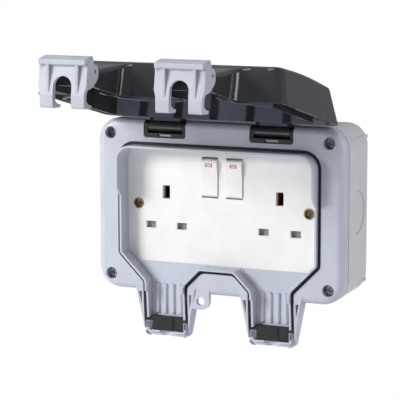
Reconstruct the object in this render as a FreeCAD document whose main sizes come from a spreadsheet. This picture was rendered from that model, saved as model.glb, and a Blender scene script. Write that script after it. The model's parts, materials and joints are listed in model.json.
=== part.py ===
import FreeCAD, Part

import math
import os
from types import SimpleNamespace

import Sketcher

Vector = FreeCAD.Vector

# An outdoor twin socket. The wall is the plane Y = 0 and the front looks along -Y.
# X is to the right and Z is up. A depth is the distance in front of the wall, so Y = -depth.
# The lid and its clips are drawn closed and then swung open about the hinge.

SIZES = {
    # Casing
    "casing_width": 173.0,
    "casing_height": 113.5,
    "casing_corner": 15.0,
    "casing_draft": 1.3,
    "box_depth": 39.0,
    "box_wall": 2.8,
    "box_round": 2.0,
    "gasket_thick": 0.8,
    "gasket_width": 2.0,
    "face_depth": 49.4,
    "face_round": 5.0,
    "face_wall": 2.5,
    "knockout_radius": 14.0,
    "knockout_depth": 21.2,
    "knockout_recess": 1.0,
    "wall_hole_x": 62.0,
    "wall_hole_z": 34.0,
    "wall_hole_radius": 2.5,
    # Corner screws
    "screw_x": 76.6,
    "screw_z": 47.0,
    "screw_shank": 1.95,
    "screw_head": 3.4,
    "screw_head_thick": 2.4,
    "screw_seat": 43.5,
    "screw_length": 26.0,
    "well_radius": 3.9,
    "boss_radius": 5.5,
    "screw_clearance": 0.05,
    # Opening, from the inner edge of the lip
    "opening_half": 67.9,
    "opening_top": 38.4,
    "opening_bottom": 39.0,
    "opening_corner": 8.5,
    "funnel_side": 31.5,
    "funnel_middle": 12.6,
    "spout_x": 37.35,
    "spout_inner": 12.45,
    "spout_inner_end": 83.5,
    "lip_thick": 1.4,
    "lip_front": 51.7,
    "tall_lip_front": 57.7,
    "jog_low": 6.0,
    "jog_high": 12.0,
    "channel_width": 2.1,
    "channel_floor": 45.4,
    "channel_wall": 1.5,
    "channel_end": 77.2,
    "window_bottom": 38.2,
    # Spouts
    "spout_root": 52.0,
    "spout_wide": 21.8,
    "spout_narrow": 15.1,
    "spout_end": 87.0,
    "spout_corner": 3.0,
    "spout_tip_depth": 47.0,
    "spout_floor": 42.6,
    "funnel_floor": 41.5,
    "flute_radius": 1.5,
    "flute_pitch": 5.5,
    "flute_start": 52.5,
    "flute_end": 72.0,
    "ledge_depth": 45.6,
    "seat_half": 10.9,
    "seat_start": 74.0,
    "notch_radius": 5.6,
    "notch_centre": 49.6,
    "slot_width": 1.0,
    "slot_start": 77.6,
    "slot_end": 81.8,
    "gap_top": 57.6,
    "gap_end": 67.0,
    "gap_width": 2.0,
    # Lug
    "lug_left": 19.0,
    "lug_right": 5.8,
    "lug_end": 66.5,
    "lug_thick": 3.0,
    "lug_corner": 5.4,
    "lug_hole_x": 12.2,
    "lug_hole_z": 61.1,
    "lug_hole_radius": 2.8,
    # Hinge
    "hinge_x": 37.4,
    "hinge_depth": 44.6,
    "hinge_z": 52.3,
    "open_angle": 103.4,
    "notch_half": 15.0,
    "notch_floor": 40.4,
    "notch_bottom": 45.0,
    "notch_backing": 1.8,
    "bracket_gap": 0.2,
    "bracket_base": 2.9,
    "bracket_cheek": 2.4,
    "bracket_round": 3.9,
    "tongue_half": 4.6,
    "tongue_high": 1.5,
    "barrel_radius": 3.9,
    "barrel_gap": 0.3,
    "pin_radius": 1.5,
    "pin_running": 0.05,
    # Weather seal
    "seal_front": 48.6,
    "seal_gap": 0.05,
    "cable_seal_front": 46.4,
    "cable_bump_radius": 5.4,
    "cable_bump_centre": 43.6,
    # Lid
    "rim_depth": 49.9,
    "lid_half": 82.0,
    "lid_top": 53.0,
    "lid_bottom": 50.0,
    "lid_corner_top": 7.0,
    "lid_corner_bottom": 9.0,
    "lid_draft": 0.2667,
    "lid_front": 74.6,
    "lid_front_edge": 72.4,
    "hood_edge": 41.0,
    "hood_edge_depth": 72.3,
    "leg_top": 47.0,
    "leg_top_depth": 69.6,
    "leg_bend": 74.0,
    "leg_bend_depth": 62.9,
    "leg_tip_depth": 60.8,
    "leg_half": 15.8,
    "leg_end": 88.0,
    "leg_draft": 0.098,
    "leg_corner": 3.0,
    "leg_round": 8.0,
    "root_slant": 3.7,
    "root_round": 5.0,
    "leg_wall": 1.6,
    "lid_wall": 2.0,
    "lid_edge_round": 3.0,
    "rib_inner": 1.75,
    "rib_thick": 1.35,
    "rib_tip": 48.8,
    "rib_cover": 0.4,
    "arm_top": 53.0,
    "arm_bottom": 49.9,
    # Clips
    "clip_pivot_depth": 58.9,
    "clip_pivot_z": 87.0,
    "clip_angle": 13.4,
    "clip_half": 16.0,
    "clip_cheek": 1.9,
    "clip_pin_radius": 1.1,
    "ear_inner": 11.9,
    "ear_outer": 13.9,
    "ear_radius": 3.0,
    "ear_start": 78.5,
    "cheek_radius": 4.2,
    "arch_half": 4.8,
    # Faceplate
    "plate_half_width": 73.0,
    "plate_half_height": 43.0,
    "plate_corner": 5.0,
    "plate_back": 33.4,
    "plate_front": 41.0,
    "plate_wall": 2.8,
    "outlet_x": 40.1,
    "pin_x": 11.115,
    "pin_z": 13.8,
    "pin_slot_width": 7.1,
    "pin_slot_high": 4.5,
    "earth_z": 8.4,
    "earth_slot_width": 5.2,
    "earth_slot_high": 8.8,
    "fixing_x": 60.3,
    "bush_radius": 3.75,
    "bush_bore": 1.75,
    "bush_head_bore": 2.95,
    "bush_gap": 0.05,
    "fixing_head": 2.8,
    "fixing_head_top": 39.0,
    "fixing_head_seat": 37.0,
    "fixing_shank": 1.7,
    "fixing_length": 18.0,
    "plate_boss": 5.2,
    "post_radius": 4.5,
    # Rockers
    "rocker_x": 8.7,
    "rocker_z": 19.65,
    "rocker_axis_depth": 36.5,
    "rocker_half_width": 5.6,
    "rocker_half_high": 12.15,
    "rocker_throw": 11.5,
    "rocker_valley": 5.3,
    "rocker_end": 6.5,
    "rocker_bevel": 1.25,
    "window_half_high": 13.4,
    "window_gap": 0.25,
    "trunnion_radius": 1.4,
    "trunnion_length": 1.1,
    "nib_length": 7.1,
    # Base behind the plate
    "base_half_width": 54.0,
    "base_top": 36.0,
    "base_bottom": 30.0,
    "base_back": 15.0,
    "shutter_floor": 35.2,
    "shutter_low": 26.0,
    "shutter_high": 2.9,
    "shutter_half": 15.6,
    "shutter_gap": 0.3,
    "shutter_bar_top": 10.6,
    "shutter_bar_bottom": 17.1,
    "shutter_stem": 2.3,
    "spring_coil": 0.8,
    "spring_wire": 0.22,
    "spring_turns": 5.0,
    "sleeve_wall": 0.8,
    "sleeve_gap": 0.15,
    "live_mouth_width": 7.0,
    "live_mouth_high": 4.4,
    "earth_mouth_width": 4.6,
    "earth_mouth_high": 8.6,
    "sleeve_front_live": 34.8,
    "sleeve_front_earth": 37.0,
    "strip_thick": 1.2,
    "strip_width": 4.0,
    "strip_drop": 1.6,
    "arm_pivot_depth": 28.0,
    "arm_half_length": 9.5,
    "arm_thick": 1.0,
    "arm_half_width": 2.8,
    "arm_tilt": 5.0,
    "riser_z": 28.4,
    "terminal_half": 4.0,
    "terminal_deep": 6.0,
    "terminal_screw": 1.7,
    "base_screw_x": 24.0,
    "base_screw_z": 33.0,
    "base_screw_low": 25.0,
    "base_screw_shank": 1.3,
    "base_screw_head": 2.2,
}

DIAGONAL_SHIFT = math.tan(math.radians(22.5))
BEYOND = 8.0


class Size:
    """A length that knows its value and the sheet's formula for it."""

    def __init__(self, value, text):
        self.value = value
        self.text = text

    def joined(self, other, sign, value):
        return Size(value, f"({self.text} {sign} {other.text})")

    def __add__(self, other):
        other = as_size(other)
        return self.joined(other, "+", self.value + other.value)

    def __sub__(self, other):
        other = as_size(other)
        return self.joined(other, "-", self.value - other.value)

    def __mul__(self, other):
        other = as_size(other)
        return self.joined(other, "*", self.value * other.value)

    def __truediv__(self, other):
        other = as_size(other)
        return self.joined(other, "/", self.value / other.value)

    def __neg__(self):
        return Size(-self.value, f"(0 - {self.text})")

    def __radd__(self, other):
        return as_size(other) + self

    def __rsub__(self, other):
        return as_size(other) - self

    def __rmul__(self, other):
        return as_size(other) * self


def as_size(number):
    if isinstance(number, Size):
        return number
    return Size(float(number), repr(float(number)))


def write_sheet(document):
    sheet = document.addObject("Spreadsheet::Sheet", "Sizes")
    for row, (name, value) in enumerate(SIZES.items(), start=1):
        sheet.set(f"A{row}", name)
        sheet.set(f"B{row}", str(value))
        sheet.setAlias(f"B{row}", name)
    document.recompute()
    return SimpleNamespace(**{name: Size(float(sheet.get(name)), f"Sizes.{name}") for name in SIZES})


doc = FreeCAD.newDocument("WeatherproofSocket")
S = write_sheet(doc)


# Drawing helpers

def new_body(label):
    body = doc.addObject("PartDesign::Body", label)
    body.Label = label
    body.AllowCompound = True
    return body


def bind(item, name, size):
    """Sets one property of a feature from a size."""
    if "Sizes." in size.text:
        item.setExpression(name, size.text)
    elif name == "Length":
        item.Length = size.value


def new_sketch(body, name, role, offset=0.0):
    """A sketch on an origin plane, moved along the plane's normal."""
    offset = as_size(offset)
    sketch = body.newObject("Sketcher::SketchObject", name)
    for plane in body.Origin.OriginFeatures:
        if plane.Role == role:
            sketch.AttachmentSupport = (plane, "")
    sketch.MapMode = "FlatFace"
    sketch.AttachmentOffset = FreeCAD.Placement(Vector(0, 0, offset.value), FreeCAD.Rotation())
    if "Sizes." in offset.text:
        sketch.setExpression("AttachmentOffset.Base.z", offset.text)
    return sketch


def front_sketch(body, name, depth):
    """Seen from the front: across is X, up is Z, and a pad grows away from the wall."""
    return new_sketch(body, name, "XZ_Plane", depth)


def side_sketch(body, name, across):
    """Seen from the side: corners are given as depth and height."""
    return new_sketch(body, name, "YZ_Plane", across)


def level_sketch(body, name, height):
    """Seen from above: corners are given as X and Y."""
    return new_sketch(body, name, "XY_Plane", height)


def hold_distance(sketch, kind, geometry, point, size):
    """Fixes one coordinate of a point from the sketch's origin."""
    if abs(size.value) < 1e-9:
        axis = -2 if kind == "DistanceX" else -1
        sketch.addConstraint(Sketcher.Constraint("PointOnObject", geometry, point, axis))
        return
    if size.value > 0:
        ends = (-1, 1, geometry, point)
        text = size.text
    else:
        ends = (geometry, point, -1, 1)
        text = f"0 - {size.text}"
    index = sketch.addConstraint(Sketcher.Constraint(kind, *ends, abs(size.value)))
    if "Sizes." in text:
        sketch.setExpression(f"Constraints[{index}]", text)


def outline(sketch, corners):
    """A closed outline of lines, with a tangent arc at each corner that has a radius."""
    points = []
    for corner in corners:
        radius = as_size(corner[2]) if len(corner) > 2 else as_size(0.0)
        points.append((as_size(corner[0]), as_size(corner[1]), radius))
    count = len(points)
    flat = [Vector(across.value, up.value, 0) for across, up, radius in points]
    entries = []
    exits = []
    arcs = []
    for index in range(count):
        here = flat[index]
        radius = points[index][2].value
        if radius <= 0:
            entries.append(here)
            exits.append(here)
            arcs.append(None)
            continue
        back = (flat[index - 1] - here).normalize()
        ahead = (flat[(index + 1) % count] - here).normalize()
        half = back.getAngle(ahead) / 2
        reach = radius / math.tan(half)
        middle = here + (back + ahead).normalize() * (radius / math.sin(half))
        entry = here + back * reach
        leave = here + ahead * reach
        turn_left = back.cross(ahead).z < 0
        first, last = (entry, leave) if turn_left else (leave, entry)
        start = math.atan2(first.y - middle.y, first.x - middle.x)
        finish = math.atan2(last.y - middle.y, last.x - middle.x)
        entries.append(entry)
        exits.append(leave)
        arcs.append((middle, radius, start, finish, turn_left))
    lines = []
    for index in range(count):
        line = Part.LineSegment(exits[index], entries[(index + 1) % count])
        lines.append(sketch.addGeometry(line, False))
    for index in range(count):
        across, up, radius = points[index]
        incoming = lines[index - 1]
        outgoing = lines[index]
        if arcs[index] is None:
            sketch.addConstraint(Sketcher.Constraint("Coincident", incoming, 2, outgoing, 1))
            hold_distance(sketch, "DistanceX", outgoing, 1, across)
            hold_distance(sketch, "DistanceY", outgoing, 1, up)
            continue
        middle, value, start, finish, turn_left = arcs[index]
        circle = Part.Circle(middle, Vector(0, 0, 1), value)
        arc = sketch.addGeometry(Part.ArcOfCircle(circle, start, finish), False)
        first, last = (1, 2) if turn_left else (2, 1)
        sketch.addConstraint(Sketcher.Constraint("Tangent", incoming, 2, arc, first))
        sketch.addConstraint(Sketcher.Constraint("Tangent", arc, last, outgoing, 1))
        bound = sketch.addConstraint(Sketcher.Constraint("Radius", arc, value))
        if "Sizes." in radius.text:
            sketch.setExpression(f"Constraints[{bound}]", radius.text)
        vertex = sketch.addGeometry(Part.Point(flat[index]), True)
        sketch.addConstraint(Sketcher.Constraint("PointOnObject", vertex, 1, incoming))
        sketch.addConstraint(Sketcher.Constraint("PointOnObject", vertex, 1, outgoing))
        hold_distance(sketch, "DistanceX", vertex, 1, across)
        hold_distance(sketch, "DistanceY", vertex, 1, up)


def side_outline(sketch, corners):
    """Corners given as depth and height."""
    outline(sketch, [(-as_size(corner[0]), *corner[1:]) for corner in corners])


def circle(sketch, across, up, radius):
    across, up, radius = as_size(across), as_size(up), as_size(radius)
    round_edge = Part.Circle(Vector(across.value, up.value, 0), Vector(0, 0, 1), radius.value)
    index = sketch.addGeometry(round_edge, False)
    bound = sketch.addConstraint(Sketcher.Constraint("Radius", index, radius.value))
    if "Sizes." in radius.text:
        sketch.setExpression(f"Constraints[{bound}]", radius.text)
    hold_distance(sketch, "DistanceX", index, 3, across)
    hold_distance(sketch, "DistanceY", index, 3, up)


def rectangle(sketch, left, right, low, high, radius=0.0):
    outline(sketch, [(left, low, radius), (right, low, radius), (right, high, radius), (left, high, radius)])


def settle(body):
    """Works out the body so far, with the sketches and sizes that it stands on."""
    doc.recompute([body])


def volume_of(body):
    return body.Shape.Volume if body.Tip is not None else 0.0


def pad(body, sketch, length):
    before = volume_of(body)
    feature = body.newObject("PartDesign::Pad", sketch.Name + "_pad")
    feature.Profile = sketch
    bind(feature, "Length", as_size(length))
    settle(body)
    if volume_of(body) <= before:
        raise ValueError(f"{feature.Name} adds nothing")
    return feature


def pocket(body, sketch, length, toward_normal=False):
    before = volume_of(body)
    feature = body.newObject("PartDesign::Pocket", sketch.Name + "_cut")
    feature.Profile = sketch
    feature.Reversed = toward_normal
    bind(feature, "Length", as_size(length))
    settle(body)
    if volume_of(body) >= before:
        raise ValueError(f"{feature.Name} cuts nothing")
    return feature


def loft(body, kind, profile, section):
    feature = body.newObject(kind, profile.Name + "_loft")
    feature.Profile = profile
    feature.Sections = [section]
    feature.Ruled = True
    settle(body)
    return feature


def fillet(body, name, radius, wanted):
    """Rounds the edges of the body so far that the test picks."""
    base = body.Tip
    names = [f"Edge{number}" for number, edge in enumerate(base.Shape.Edges, start=1) if wanted(edge)]
    feature = body.newObject("PartDesign::Fillet", name)
    feature.Base = (base, names)
    bind(feature, "Radius", as_size(radius))
    settle(body)
    return feature


def at_depth(depth):
    """Picks the edges that lie wholly at one depth."""
    return lambda edge: abs(edge.BoundBox.YMin + depth) < 1e-4 and abs(edge.BoundBox.YMax + depth) < 1e-4


def casing_corners(inset):
    half = S.casing_width / 2 - inset
    high = S.casing_height / 2 - inset
    radius = S.casing_corner - inset
    return [(-half, -high, radius), (half, -high, radius), (half, high, radius), (-half, high, radius)]


def mirrored(label, source, normal=(1, 0, 0)):
    twin = doc.addObject("Part::Mirroring", label)
    twin.Label = label
    twin.Source = source
    twin.Normal = Vector(*normal)
    twin.Base = Vector(0, 0, 0)
    return twin


def both_sides(corners):
    """The right half's corners, from the top round to the bottom, joined to their mirror image."""
    left = [(-across, *rest) for across, *rest in reversed(corners)]
    return corners + left


def opening_corners(grow, end=None):
    """The opening with its two spouts, grown outwards by a distance."""
    grow = as_size(grow)
    slant = grow * DIAGONAL_SHIFT
    side = S.opening_half + grow
    outer = S.spout_x + S.spout_inner + grow
    inner = S.spout_x - S.spout_inner - grow
    shoulder = S.funnel_side + (S.opening_half - S.spout_x - S.spout_inner)
    crotch = S.opening_bottom + (S.spout_x - S.spout_inner - S.funnel_middle)
    low = S.spout_inner_end + grow if end is None else as_size(end)
    bend = 6.0 - grow
    return both_sides([
        (side, S.opening_top + grow, S.opening_corner + grow),
        (side, -(S.funnel_side + slant), grow + 2.0),
        (outer, -(shoulder + slant), bend),
        (outer, -low, grow + 0.8),
        (inner, -low, grow + 0.8),
        (inner, -(crotch + slant), bend),
        (S.funnel_middle - slant, -(S.opening_bottom + grow), grow + 2.0),
    ])


def spout_corners(centre, root, grow):
    """A spout's tapered outer outline from a height down to its end."""
    grow = as_size(grow)
    fall = (S.spout_wide - S.spout_narrow) / (S.spout_end - S.spout_root)
    wide = S.spout_wide - (as_size(root) - S.spout_root) * fall + grow
    narrow = S.spout_narrow + grow
    return [
        (centre - wide, -as_size(root)),
        (centre - narrow, -(S.spout_end + grow), S.spout_corner),
        (centre + narrow, -(S.spout_end + grow), S.spout_corner),
        (centre + wide, -as_size(root)),
    ]


def slope_cut(body, name, lift):
    """Takes the front of the spouts down to their slope, moved forward by a lift."""
    edge = S.casing_height / 2
    sketch = side_sketch(body, name, -S.opening_half)
    side_outline(sketch, [
        (S.face_depth + lift, -edge),
        (S.spout_tip_depth + lift, -S.spout_end),
        (S.spout_tip_depth + lift, -(S.spout_end + BEYOND)),
        (S.tall_lip_front + BEYOND, -(S.spout_end + BEYOND)),
        (S.tall_lip_front + BEYOND, -edge),
    ])
    pocket(body, sketch, S.opening_half * 2, toward_normal=True)


# Casing

def make_back_box():
    body = new_body("back_box")
    back = front_sketch(body, "box_back_outline", 0.0)
    outline(back, casing_corners(S.casing_draft))
    front = front_sketch(body, "box_front_outline", S.box_depth)
    outline(front, casing_corners(0.0))
    loft(body, "PartDesign::AdditiveLoft", back, front)
    fillet(body, "box_back_round", S.box_round, at_depth(0.0))
    floor = front_sketch(body, "box_floor", S.box_wall)
    outline(floor, casing_corners(S.box_wall + S.casing_draft))
    mouth = front_sketch(body, "box_mouth", S.box_depth)
    outline(mouth, casing_corners(S.box_wall))
    loft(body, "PartDesign::SubtractiveLoft", floor, mouth)
    posts = front_sketch(body, "box_posts", 1.0)
    for side in (-1, 1):
        for level in (-1, 1):
            circle(posts, S.screw_x * side, S.screw_z * level, S.boss_radius)
    pad(body, posts, S.box_depth - 1.0)
    ribs = front_sketch(body, "box_post_ribs", 1.0)
    for side in (-1, 1):
        for level in (-1, 1):
            reach = S.casing_width / 2 - S.box_wall / 2
            low = S.screw_z * level - 1.0
            high = S.screw_z * level + 1.0
            near, far = sorted((S.screw_x * side, reach * side), key=lambda size: size.value)
            rectangle(ribs, near, far, low, high)
    pad(body, ribs, S.box_depth - 3.0)
    plate_posts = front_sketch(body, "plate_posts", 1.0)
    for side in (-1, 1):
        circle(plate_posts, S.fixing_x * side, 0.0, S.post_radius)
    pad(body, plate_posts, S.plate_back - 1.0)
    holes = front_sketch(body, "post_holes", S.box_depth)
    for side in (-1, 1):
        for level in (-1, 1):
            circle(holes, S.screw_x * side, S.screw_z * level, S.screw_shank + S.screw_clearance)
    pocket(body, holes, S.box_depth - 8.0)
    tapped = front_sketch(body, "plate_post_holes", S.plate_back)
    for side in (-1, 1):
        circle(tapped, S.fixing_x * side, 0.0, S.fixing_shank + S.screw_clearance)
    pocket(body, tapped, S.plate_back - 8.0)
    wall_holes = front_sketch(body, "wall_holes", S.box_wall + 1.0)
    for side in (-1, 1):
        for level in (-1, 1):
            circle(wall_holes, S.wall_hole_x * side, S.wall_hole_z * level, S.wall_hole_radius)
    pocket(body, wall_holes, S.box_wall + 2.0)
    middle = S.casing_width / 2 - S.casing_draft * (1 - S.knockout_depth / S.box_depth)
    for side, name in ((1, "knockout_right"), (-1, "knockout_left")):
        plane = side_sketch(body, name, (middle - S.knockout_recess) * side)
        circle(plane, -S.knockout_depth, 0.0, S.knockout_radius)
        pocket(body, plane, S.casing_draft * 3, toward_normal=side > 0)
    return body


def make_gasket():
    body = new_body("box_gasket")
    ring = front_sketch(body, "gasket_ring", S.box_depth)
    outline(ring, casing_corners(0.3))
    outline(ring, casing_corners(0.3 + S.gasket_width))
    pad(body, ring, S.gasket_thick)
    return body


def make_front_housing():
    body = new_body("front_housing")
    back = S.box_depth + S.gasket_thick
    frame = front_sketch(body, "frame", back)
    outline(frame, casing_corners(0.0))
    pad(body, frame, S.face_depth - back)
    fillet(body, "frame_round", S.face_round, at_depth(S.face_depth.value))
    cavity = front_sketch(body, "frame_cavity", S.face_depth - S.face_wall)
    outline(cavity, casing_corners(S.face_wall))
    pocket(body, cavity, S.face_depth)
    spouts = front_sketch(body, "spouts", back)
    for side in (-1, 1):
        outline(spouts, spout_corners(S.spout_x * side, S.spout_root, 0.0))
    pad(body, spouts, S.face_depth - back)
    rim = S.lip_thick + S.channel_width + S.channel_wall
    block = front_sketch(body, "recess_block", S.plate_front)
    outline(block, opening_corners(rim, S.casing_height / 2 + 3.0))
    pad(body, block, S.face_depth - S.plate_front)
    slope_cut(body, "spout_slope", as_size(0.0))
    add_lip(body)
    add_recess(body)
    add_spout_ends(body, back)
    add_flutes(body)
    add_lug(body)
    add_hinge_notches(body, back)
    add_screw_wells(body, back)
    return body


def add_lip(body):
    lip = front_sketch(body, "lip", S.plate_front)
    outline(lip, opening_corners(S.lip_thick))
    pad(body, lip, S.tall_lip_front - S.plate_front)
    profile = side_sketch(body, "lip_profile", -S.casing_width / 2)
    lift = S.lip_front - S.face_depth
    side_outline(profile, [
        (S.lip_front, S.jog_low, 2.0),
        (S.lip_front, -S.casing_height / 2),
        (S.spout_tip_depth + lift, -S.spout_end),
        (S.spout_tip_depth + lift, -(S.spout_end + BEYOND)),
        (S.tall_lip_front + BEYOND, -(S.spout_end + BEYOND)),
        (S.tall_lip_front + BEYOND, S.jog_high),
        (S.tall_lip_front, S.jog_high),
    ])
    pocket(body, profile, S.casing_width, toward_normal=True)


def add_recess(body):
    hollow = front_sketch(body, "recess", S.tall_lip_front + 1.0)
    outline(hollow, opening_corners(0.0))
    pocket(body, hollow, S.tall_lip_front + 1.0 - S.spout_floor)
    window = front_sketch(body, "plate_window", S.spout_floor + 1.0)
    corner = S.opening_half - (S.window_bottom - S.funnel_side)
    outline(window, both_sides([
        (S.opening_half, S.opening_top, S.opening_corner),
        (S.opening_half, -S.funnel_side),
        (corner, -S.window_bottom),
    ]))
    pocket(body, window, S.spout_floor + 2.0 - S.plate_front)
    for side, name in ((-1, "left"), (1, "right")):
        slide = S.window_bottom - S.funnel_side
        edges = (S.funnel_middle + 1.0, S.opening_half - slide - 1.0)
        foot = (S.spout_x - S.spout_inner + 1.0, S.spout_x + S.spout_inner - 1.0)
        top = level_sketch(body, f"funnel_top_{name}", -S.window_bottom)
        rectangle_between(top, edges, side, S.funnel_floor, S.spout_floor + 0.5)
        low = level_sketch(body, f"funnel_low_{name}", -(S.spout_root - 2.0))
        rectangle_between(low, foot, side, S.spout_floor - 0.05, S.spout_floor + 0.5)
        loft(body, "PartDesign::SubtractiveLoft", top, low)
    channel = front_sketch(body, "seal_channel", S.tall_lip_front + 1.0)
    outline(channel, opening_corners(S.lip_thick + S.channel_width))
    outline(channel, opening_corners(S.lip_thick))
    pocket(body, channel, S.tall_lip_front + 1.0 - S.channel_floor)


def rectangle_between(sketch, ends, side, near, far):
    """A rectangle seen from above between two depths, on the left or the right."""
    left, right = sorted((ends[0] * side, ends[1] * side), key=lambda size: size.value)
    rectangle(sketch, left, right, -far, -near)


def add_spout_ends(body, back):
    """The closed end of each spout, with the seat of the cable seal and its arched notch."""
    ends = front_sketch(body, "spout_ends", back)
    for side in (-1, 1):
        outline(ends, spout_corners(S.spout_x * side, S.channel_end, 0.0))
    pad(body, ends, S.lip_front - back)
    slope_cut(body, "spout_end_slope", as_size(0.0))
    ledge = front_sketch(body, "seal_ledge", S.lip_front)
    for side in (-1, 1):
        centre = S.spout_x * side
        rectangle(ledge, centre - S.spout_inner, centre + S.spout_inner,
                  -S.spout_inner_end, -(S.channel_end - 0.5))
    pocket(body, ledge, S.lip_front - S.ledge_depth)
    seat = front_sketch(body, "seal_seat", S.lip_front)
    for side in (-1, 1):
        centre = S.spout_x * side
        rectangle(seat, centre - S.seat_half, centre + S.seat_half, -S.spout_inner_end, -S.seat_start)
    pocket(body, seat, S.lip_front - S.spout_floor)
    turn = front_sketch(body, "seal_turn", S.lip_front)
    outer = S.spout_inner + S.lip_thick + 0.5
    for side in (-1, 1):
        for hand in (-1, 1):
            centre = S.spout_x * side
            near, far = sorted((centre + S.seat_half * hand, centre + outer * hand), key=lambda size: size.value)
            rectangle(turn, near, far, -S.channel_end, -(S.channel_end - S.channel_width))
    pocket(body, turn, S.lip_front - S.channel_floor)
    notch = level_sketch(body, "cable_notch", -(S.spout_inner_end - 1.0))
    for side in (-1, 1):
        circle(notch, S.spout_x * side, -S.notch_centre, S.notch_radius)
    pocket(body, notch, S.spout_end - S.spout_inner_end + 2.0)
    slots = front_sketch(body, "side_slots", S.lip_front)
    gaps = front_sketch(body, "side_gaps", S.face_depth)
    middle = S.spout_inner + S.lip_thick / 2
    wall = S.spout_inner + S.lip_thick + S.channel_width + 1.3
    for side in (-1, 1):
        for hand in (-1, 1):
            centre = S.spout_x * side
            place = centre + middle * hand
            rectangle(slots, place - S.slot_width / 2, place + S.slot_width / 2, -S.slot_end, -S.slot_start)
            outline(gaps, [
                (centre + wall * hand, -S.gap_end),
                (centre + wall * hand, -S.gap_top),
                (centre + (wall + S.gap_width) * hand, -S.gap_top),
            ])
    pocket(body, slots, S.lip_front - S.spout_floor)
    pocket(body, gaps, S.face_depth - S.spout_floor)


def add_flutes(body):
    """Four rounded ribs on the floor of each spout."""
    for side in (-1, 1):
        for step in (-1.5, -0.5, 0.5, 1.5):
            hand = "left" if side < 0 else "right"
            sketch = level_sketch(body, f"flute_{hand}_{int(step * 2) + 3}", -S.flute_end)
            circle(sketch, S.spout_x * side + S.flute_pitch * step, -S.spout_floor, S.flute_radius)
            pad(body, sketch, S.flute_end - S.flute_start)


def add_lug(body):
    lug = front_sketch(body, "lug", S.face_depth - S.lug_thick)
    outline(lug, [
        (-S.lug_left, -S.lug_end, 2.0),
        (-S.lug_right, -S.lug_end, S.lug_corner),
        (-S.lug_right, -S.screw_z),
        (-S.lug_left, -S.screw_z),
    ])
    pad(body, lug, S.lug_thick - 0.6)
    clear = front_sketch(body, "lug_channel", S.face_depth + 1.0)
    outline(clear, opening_corners(S.lip_thick + S.channel_width))
    outline(clear, opening_corners(S.lip_thick))
    pocket(body, clear, S.face_depth + 1.0 - S.channel_floor)
    hole = front_sketch(body, "lug_hole", S.face_depth)
    circle(hole, -S.lug_hole_x, -S.lug_hole_z, S.lug_hole_radius)
    pocket(body, hole, S.lug_thick * 2)


def add_hinge_notches(body, back):
    backing = front_sketch(body, "notch_backing_wall", back - S.notch_backing)
    inner_top = S.casing_height / 2 - S.face_wall - 1.0
    for side in (-1, 1):
        centre = S.hinge_x * side
        half = S.notch_half + S.channel_wall
        rectangle(backing, centre - half, centre + half, S.notch_bottom - S.channel_wall, inner_top)
    pad(body, backing, S.face_depth - 1.0 - back + S.notch_backing)
    notch = front_sketch(body, "hinge_notch", S.face_depth + 1.0)
    for side in (-1, 1):
        centre = S.hinge_x * side
        top = S.casing_height / 2 + 1.0
        outline(notch, [
            (centre - S.notch_half, S.notch_bottom, 2.0),
            (centre + S.notch_half, S.notch_bottom, 2.0),
            (centre + S.notch_half, top),
            (centre - S.notch_half, top),
        ])
    pocket(body, notch, S.face_depth + 1.0 - S.notch_floor)
    tongue = front_sketch(body, "bracket_tongue", S.notch_floor - 0.2)
    middle = S.notch_bottom + S.bracket_gap + S.bracket_base / 2
    for side in (-1, 1):
        centre = S.hinge_x * side
        rectangle(tongue, centre - S.tongue_half, centre + S.tongue_half,
                  middle - S.tongue_high / 2, middle + S.tongue_high / 2)
    pad(body, tongue, S.face_depth - 1.0 - S.notch_floor)


def add_screw_wells(body, back):
    bosses = front_sketch(body, "well_bosses", back)
    wells = front_sketch(body, "screw_wells", S.face_depth + 1.0)
    holes = front_sketch(body, "screw_holes", S.face_depth)
    for side in (-1, 1):
        for level in (-1, 1):
            circle(bosses, S.screw_x * side, S.screw_z * level, S.boss_radius)
            circle(wells, S.screw_x * side, S.screw_z * level, S.well_radius)
            circle(holes, S.screw_x * side, S.screw_z * level, S.screw_shank + S.screw_clearance * 2)
    pad(body, bosses, S.face_depth - S.face_wall / 2 - back)
    pocket(body, wells, S.face_depth + 1.0 - S.screw_seat)
    pocket(body, holes, S.face_depth)


# Seal

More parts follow.
